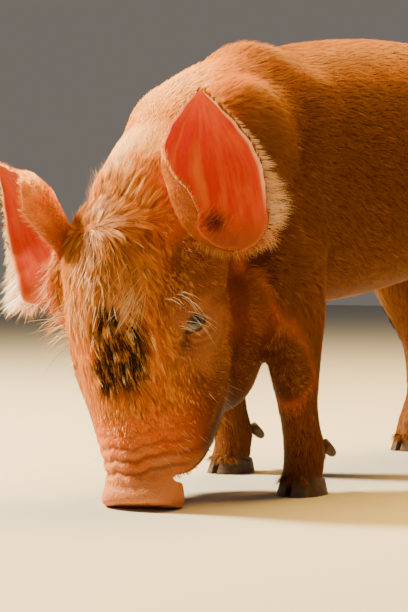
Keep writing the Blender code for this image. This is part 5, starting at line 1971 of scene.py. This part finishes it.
def growOnEar(ear, side):
    # short hair on the back of the ear, fine hair inside, and the pale fringe
    draw = np.random.default_rng(coat["seed"] + (1 if side == "left" else 2))
    mesh = ear["object"].data
    places, normals, corners = meshArrays(mesh)
    finish = np.empty(len(mesh.polygons), dtype=np.int32)
    mesh.polygons.foreach_get("material_index", finish)
    owner = np.empty(len(mesh.loop_triangles), dtype=np.int32)
    mesh.loop_triangles.foreach_get("polygon_index", owner)
    tipWay, across, opening, start = ear["axes"]

    def mapped(points):
        return unwrapRound(points, tuple(tipWay), tuple(start), ears[side]["length"] * 1.05)

    outer = corners[finish[owner] == 1]
    roots, up = samplePoints(places, normals, outer, np.ones(len(places)), fringe["back"], draw)
    count = len(roots)
    clump = gatherClumps(roots, 11, draw)
    lean = draw.normal(0.0, 0.20, (count, 3))
    lie = np.tile(np.array(tipWay), (count, 1)) + 0.45 * np.array(across) + lean[clump]
    lie = lie + 0.15 * wander(roots, 200.0, 1.0) + draw.normal(0.0, 0.09, (count, 3))
    shade = draw.normal(0.42, 0.13, count)
    hairs = {
        "root": roots, "up": up, "lie": lie,
        "length": fringe["backLength"] * draw.uniform(0.6, 1.2, count),
        "lift": 0.13 * draw.uniform(0.55, 1.35, count),
        "width": np.full(count, fringe["backWidth"]),
        "tone": np.clip(shade[clump] + draw.normal(0.0, 0.08, count), 0.0, 1.0),
        "spot": mapped(roots), "clump": clump, "gather": 0.5 * draw.uniform(0.6, 1.1, count),
        "painted_shade": fringe["painted_shade"][side],
    }
    made = [bladeMesh("coat_ear_" + side, hairs, finishes["coat"])]
    rng = random.Random(fringe["seed"])
    items = []

    def rimAxes(share, curl):
        rim = earPoint(ear, share, curl)
        inward = earPoint(ear, share, curl - math.copysign(0.14, curl))
        above = earPoint(ear, min(share + 0.01, 1.0), curl)
        along = above - earPoint(ear, max(share - 0.01, 0.0), curl)
        return rim, (rim - inward).normalized(), along.normalized()

    lockLean = [(rng.uniform(-0.34, 0.16), rng.uniform(-0.26, 0.26), rng.uniform(0.78, 1.06))
                for index in range(fringe["locks"] + 1)]
    for index in range(fringe["rear"]):
        t = (index + rng.random()) / fringe["rear"]
        share = 0.02 + 0.95 * t
        curl = 1.0 - 0.12 * rng.random() ** 1.6
        rim, out, along = rimAxes(share, curl)
        lock = t * fringe["locks"]
        number = int(lock)
        offset = lock - number - 0.5
        leanAlong, leanOpen, reach = lockLean[number]
        away = out * 0.75 + across * 0.40 - opening * (0.30 + leanOpen + rng.uniform(-0.12, 0.12))
        away = away + along * (leanAlong - 0.34 * offset + rng.uniform(-0.12, 0.12))
        full = 0.30 + 0.70 * math.exp(-((t - 0.20) / 0.34) ** 2)
        length = fringe["length"] * full * reach * rng.uniform(0.40, 1.08)
        away.normalize()
        length = min(length, (fringe["reach"] - rim.x) / max(away.x, 0.05))
        tone = rng.uniform(0.48, 1.0) - 0.45 * max(0.0, 1.0 - t / 0.16)
        bristleItem(items, rim, away.cross(along).normalized(), away, length,
                    along * -0.30 + across * 0.1, tone)
    for index in range(fringe["front"]):
        share = 0.12 + 0.86 * rng.random()
        rim, out, along = rimAxes(share, -1.0 + 0.10 * rng.random())
        away = out * 0.7 + along * rng.uniform(0.1, 0.9) - opening * rng.uniform(-0.2, 0.4)
        away = away.normalized()
        length = fringe["frontLength"] * rng.uniform(0.5, 1.2)
        bristleItem(items, rim, away.cross(along).normalized(), away, length, along * 0.2,
                    rng.uniform(0.15, 0.75), 0.6)
    for index in range(fringe["under"]):
        curl = rng.uniform(-0.75, 1.0)
        share = rng.uniform(0.0, 0.09)
        rim = earPoint(ear, share, curl) + opening * 0.0015
        away = tipWay * rng.uniform(-1.1, -0.4) + across * (0.9 * curl + rng.uniform(-0.4, 0.4))
        away = (away + opening * rng.uniform(-0.1, 0.55)).normalized()
        bristleItem(items, rim, away.cross(across).normalized(), away,
                    fringe["underLength"] * rng.uniform(0.3, 1.2), across * 0.2, rng.uniform(0.0, 0.50), 0.7)
    for index in range(fringe["inside"] + fringe["canal"]):
        inCanal = index >= fringe["inside"]
        share = rng.uniform(0.02, 0.26) if inCanal else 0.10 + 0.62 * rng.random() ** 1.2
        curl = rng.uniform(-0.98, 0.30) if inCanal else rng.uniform(-0.95, 0.98)
        normal = earNormal(ear, share, curl) * ear["flip"]
        spot = earPoint(ear, share, curl) + normal * 0.0012
        away = tipWay * 0.5 + across * rng.uniform(-0.1, 0.9) + normal * rng.uniform(0.3, 0.9)
        length = fringe["canalLength" if inCanal else "insideLength"] * rng.uniform(0.5, 1.3)
        tone = rng.uniform(0.05, 0.60) if inCanal else rng.uniform(0.0, 0.25)
        bristleItem(items, spot, normal, away.normalized(), length, across * 0.3, tone,
                    0.8 if inCanal else 0.45)
    hairs = itemHairs(items, fringe["width"], fringe["bend"], mapped)
    made.append(bladeMesh("fringe_ear_" + side, hairs, finishes["pale"], "bristle"))
    return made


skin = buildSkin()
earData = {side: earSkin(side) for side in ("left", "right")}
print("ears made")
coatList = growCoat(skin) + [growBristles(skin)]
earCoats = []
for side in ("left", "right"):
    earCoats += growOnEar(earData[side], side)
    mesh = earData[side]["object"].data
    mesh.materials.append(finishes["earInner" + side.capitalize()])
    mesh.materials.append(finishes["skin"])
    addMarksAndPaintedLight(mesh, meshArrays(mesh)[0], fringe["painted_shade"][side])
print("ear hair grown")


def replaceNode(piece, slotName, *nodes):
    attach(piece, "root")
    if nodes:
        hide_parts(*nodes)


def place(piece):
    piece.data.transform(toFrame)
    piece.data.update()


place(skin)
replaceNode(skin, "coat", "torso", "neck", "head", "snout_disc", "tail", *legs["feet"])
for piece in coatList:
    place(piece)
    replaceNode(piece, "coat")
for side in ("left", "right"):
    piece = earData[side]["object"]
    place(piece)
    replaceNode(piece, "ear", "ear_" + side)
    ball = eyeBall(side)
    ball.data.materials.append(finishes["eye"])
    place(ball)
    replaceNode(ball, "eye", "eye_" + side)
    lids = lidPiece(side)
    lids.data.materials.append(finishes["lid"])
    place(lids)
    replaceNode(lids, "coat")
for piece in earCoats:
    place(piece)
    replaceNode(piece, "ear")
for name, leg in legs["feet"].items():
    for half in ("outer", "inner"):
        for kind, make in (("claw", clawPiece), ("dewclaw", dewclawPiece)):
            node = name + "_" + kind + "_" + half
            piece = make(node + "_horn", leg, half)
            piece.data.materials.append(finishes["hoof"])
            place(piece)
            replaceNode(piece, "hoof", node)
print("pieces placed")


# Floor and light

studio = {
    "floor": 5.0,
    "floorColour": (0.48, 0.46, 0.42, 1.0),
    "world": (1.0, 0.90, 0.78, 1.0),
    "worldStrength": 0.172,
    "lights": (        # name, place, target, size, power, colour
        ("key", (-1.25, -0.56, 1.30), (0.0, -0.06, 0.18), 0.30, 215.0, (1.0, 0.82, 0.50)),
        ("rim", (-0.05, 0.70, 1.65), (0.0, 0.05, 0.22), 1.3, 135.0, (1.0, 0.56, 0.10)),
        ("fill", (1.10, -1.20, 0.80), (0.0, -0.05, 0.15), 1.2, 1.3, (1.0, 0.90, 0.80)),
    ),
}


def addFloor():
    half = studio["floor"]
    mesh = bpy.data.meshes.new("floor")
    corners = ((-half, -half, 0.0), (half, -half, 0.0), (half, half, 0.0), (-half, half, 0.0))
    mesh.from_pydata(corners, [], [(0, 1, 2, 3)])
    made = addObject("floor", mesh)
    finish = newMaterial("studio floor")
    tree = finish.node_tree
    shader = finishShader(tree, {"Roughness": 0.7})
    soft = noise(tree, objectPlace(tree), 9.0, 3.0, 0.5)
    colour = mixColours(tree, mathNode(tree, "MULTIPLY", soft, 0.12), studio["floorColour"],
                        (0.40, 0.38, 0.34, 1.0))
    tree.links.new(colour, shader.inputs["Base Color"])
    mesh.materials.append(finish)


def addLight(name, place, target, size, power, colour):
    data = bpy.data.lights.new(name, "AREA")
    data.shape = "DISK"
    data.size = size
    data.energy = power
    data.color = colour
    made = bpy.data.objects.new(name, data)
    made.location = Vector(place) + moved
    aim = Vector(target) + moved - made.location
    made.rotation_euler = aim.to_track_quat("-Z", "Y").to_euler()
    bpy.context.scene.collection.objects.link(made)


addFloor()
for light in studio["lights"]:
    addLight(*light)
world = bpy.data.worlds.new("studio")
world.use_nodes = True
backdrop = world.node_tree.nodes["Background"]
backdrop.inputs["Color"].default_value = studio["world"]
backdrop.inputs["Strength"].default_value = studio["worldStrength"]
bpy.context.scene.world = world
print("studio set")
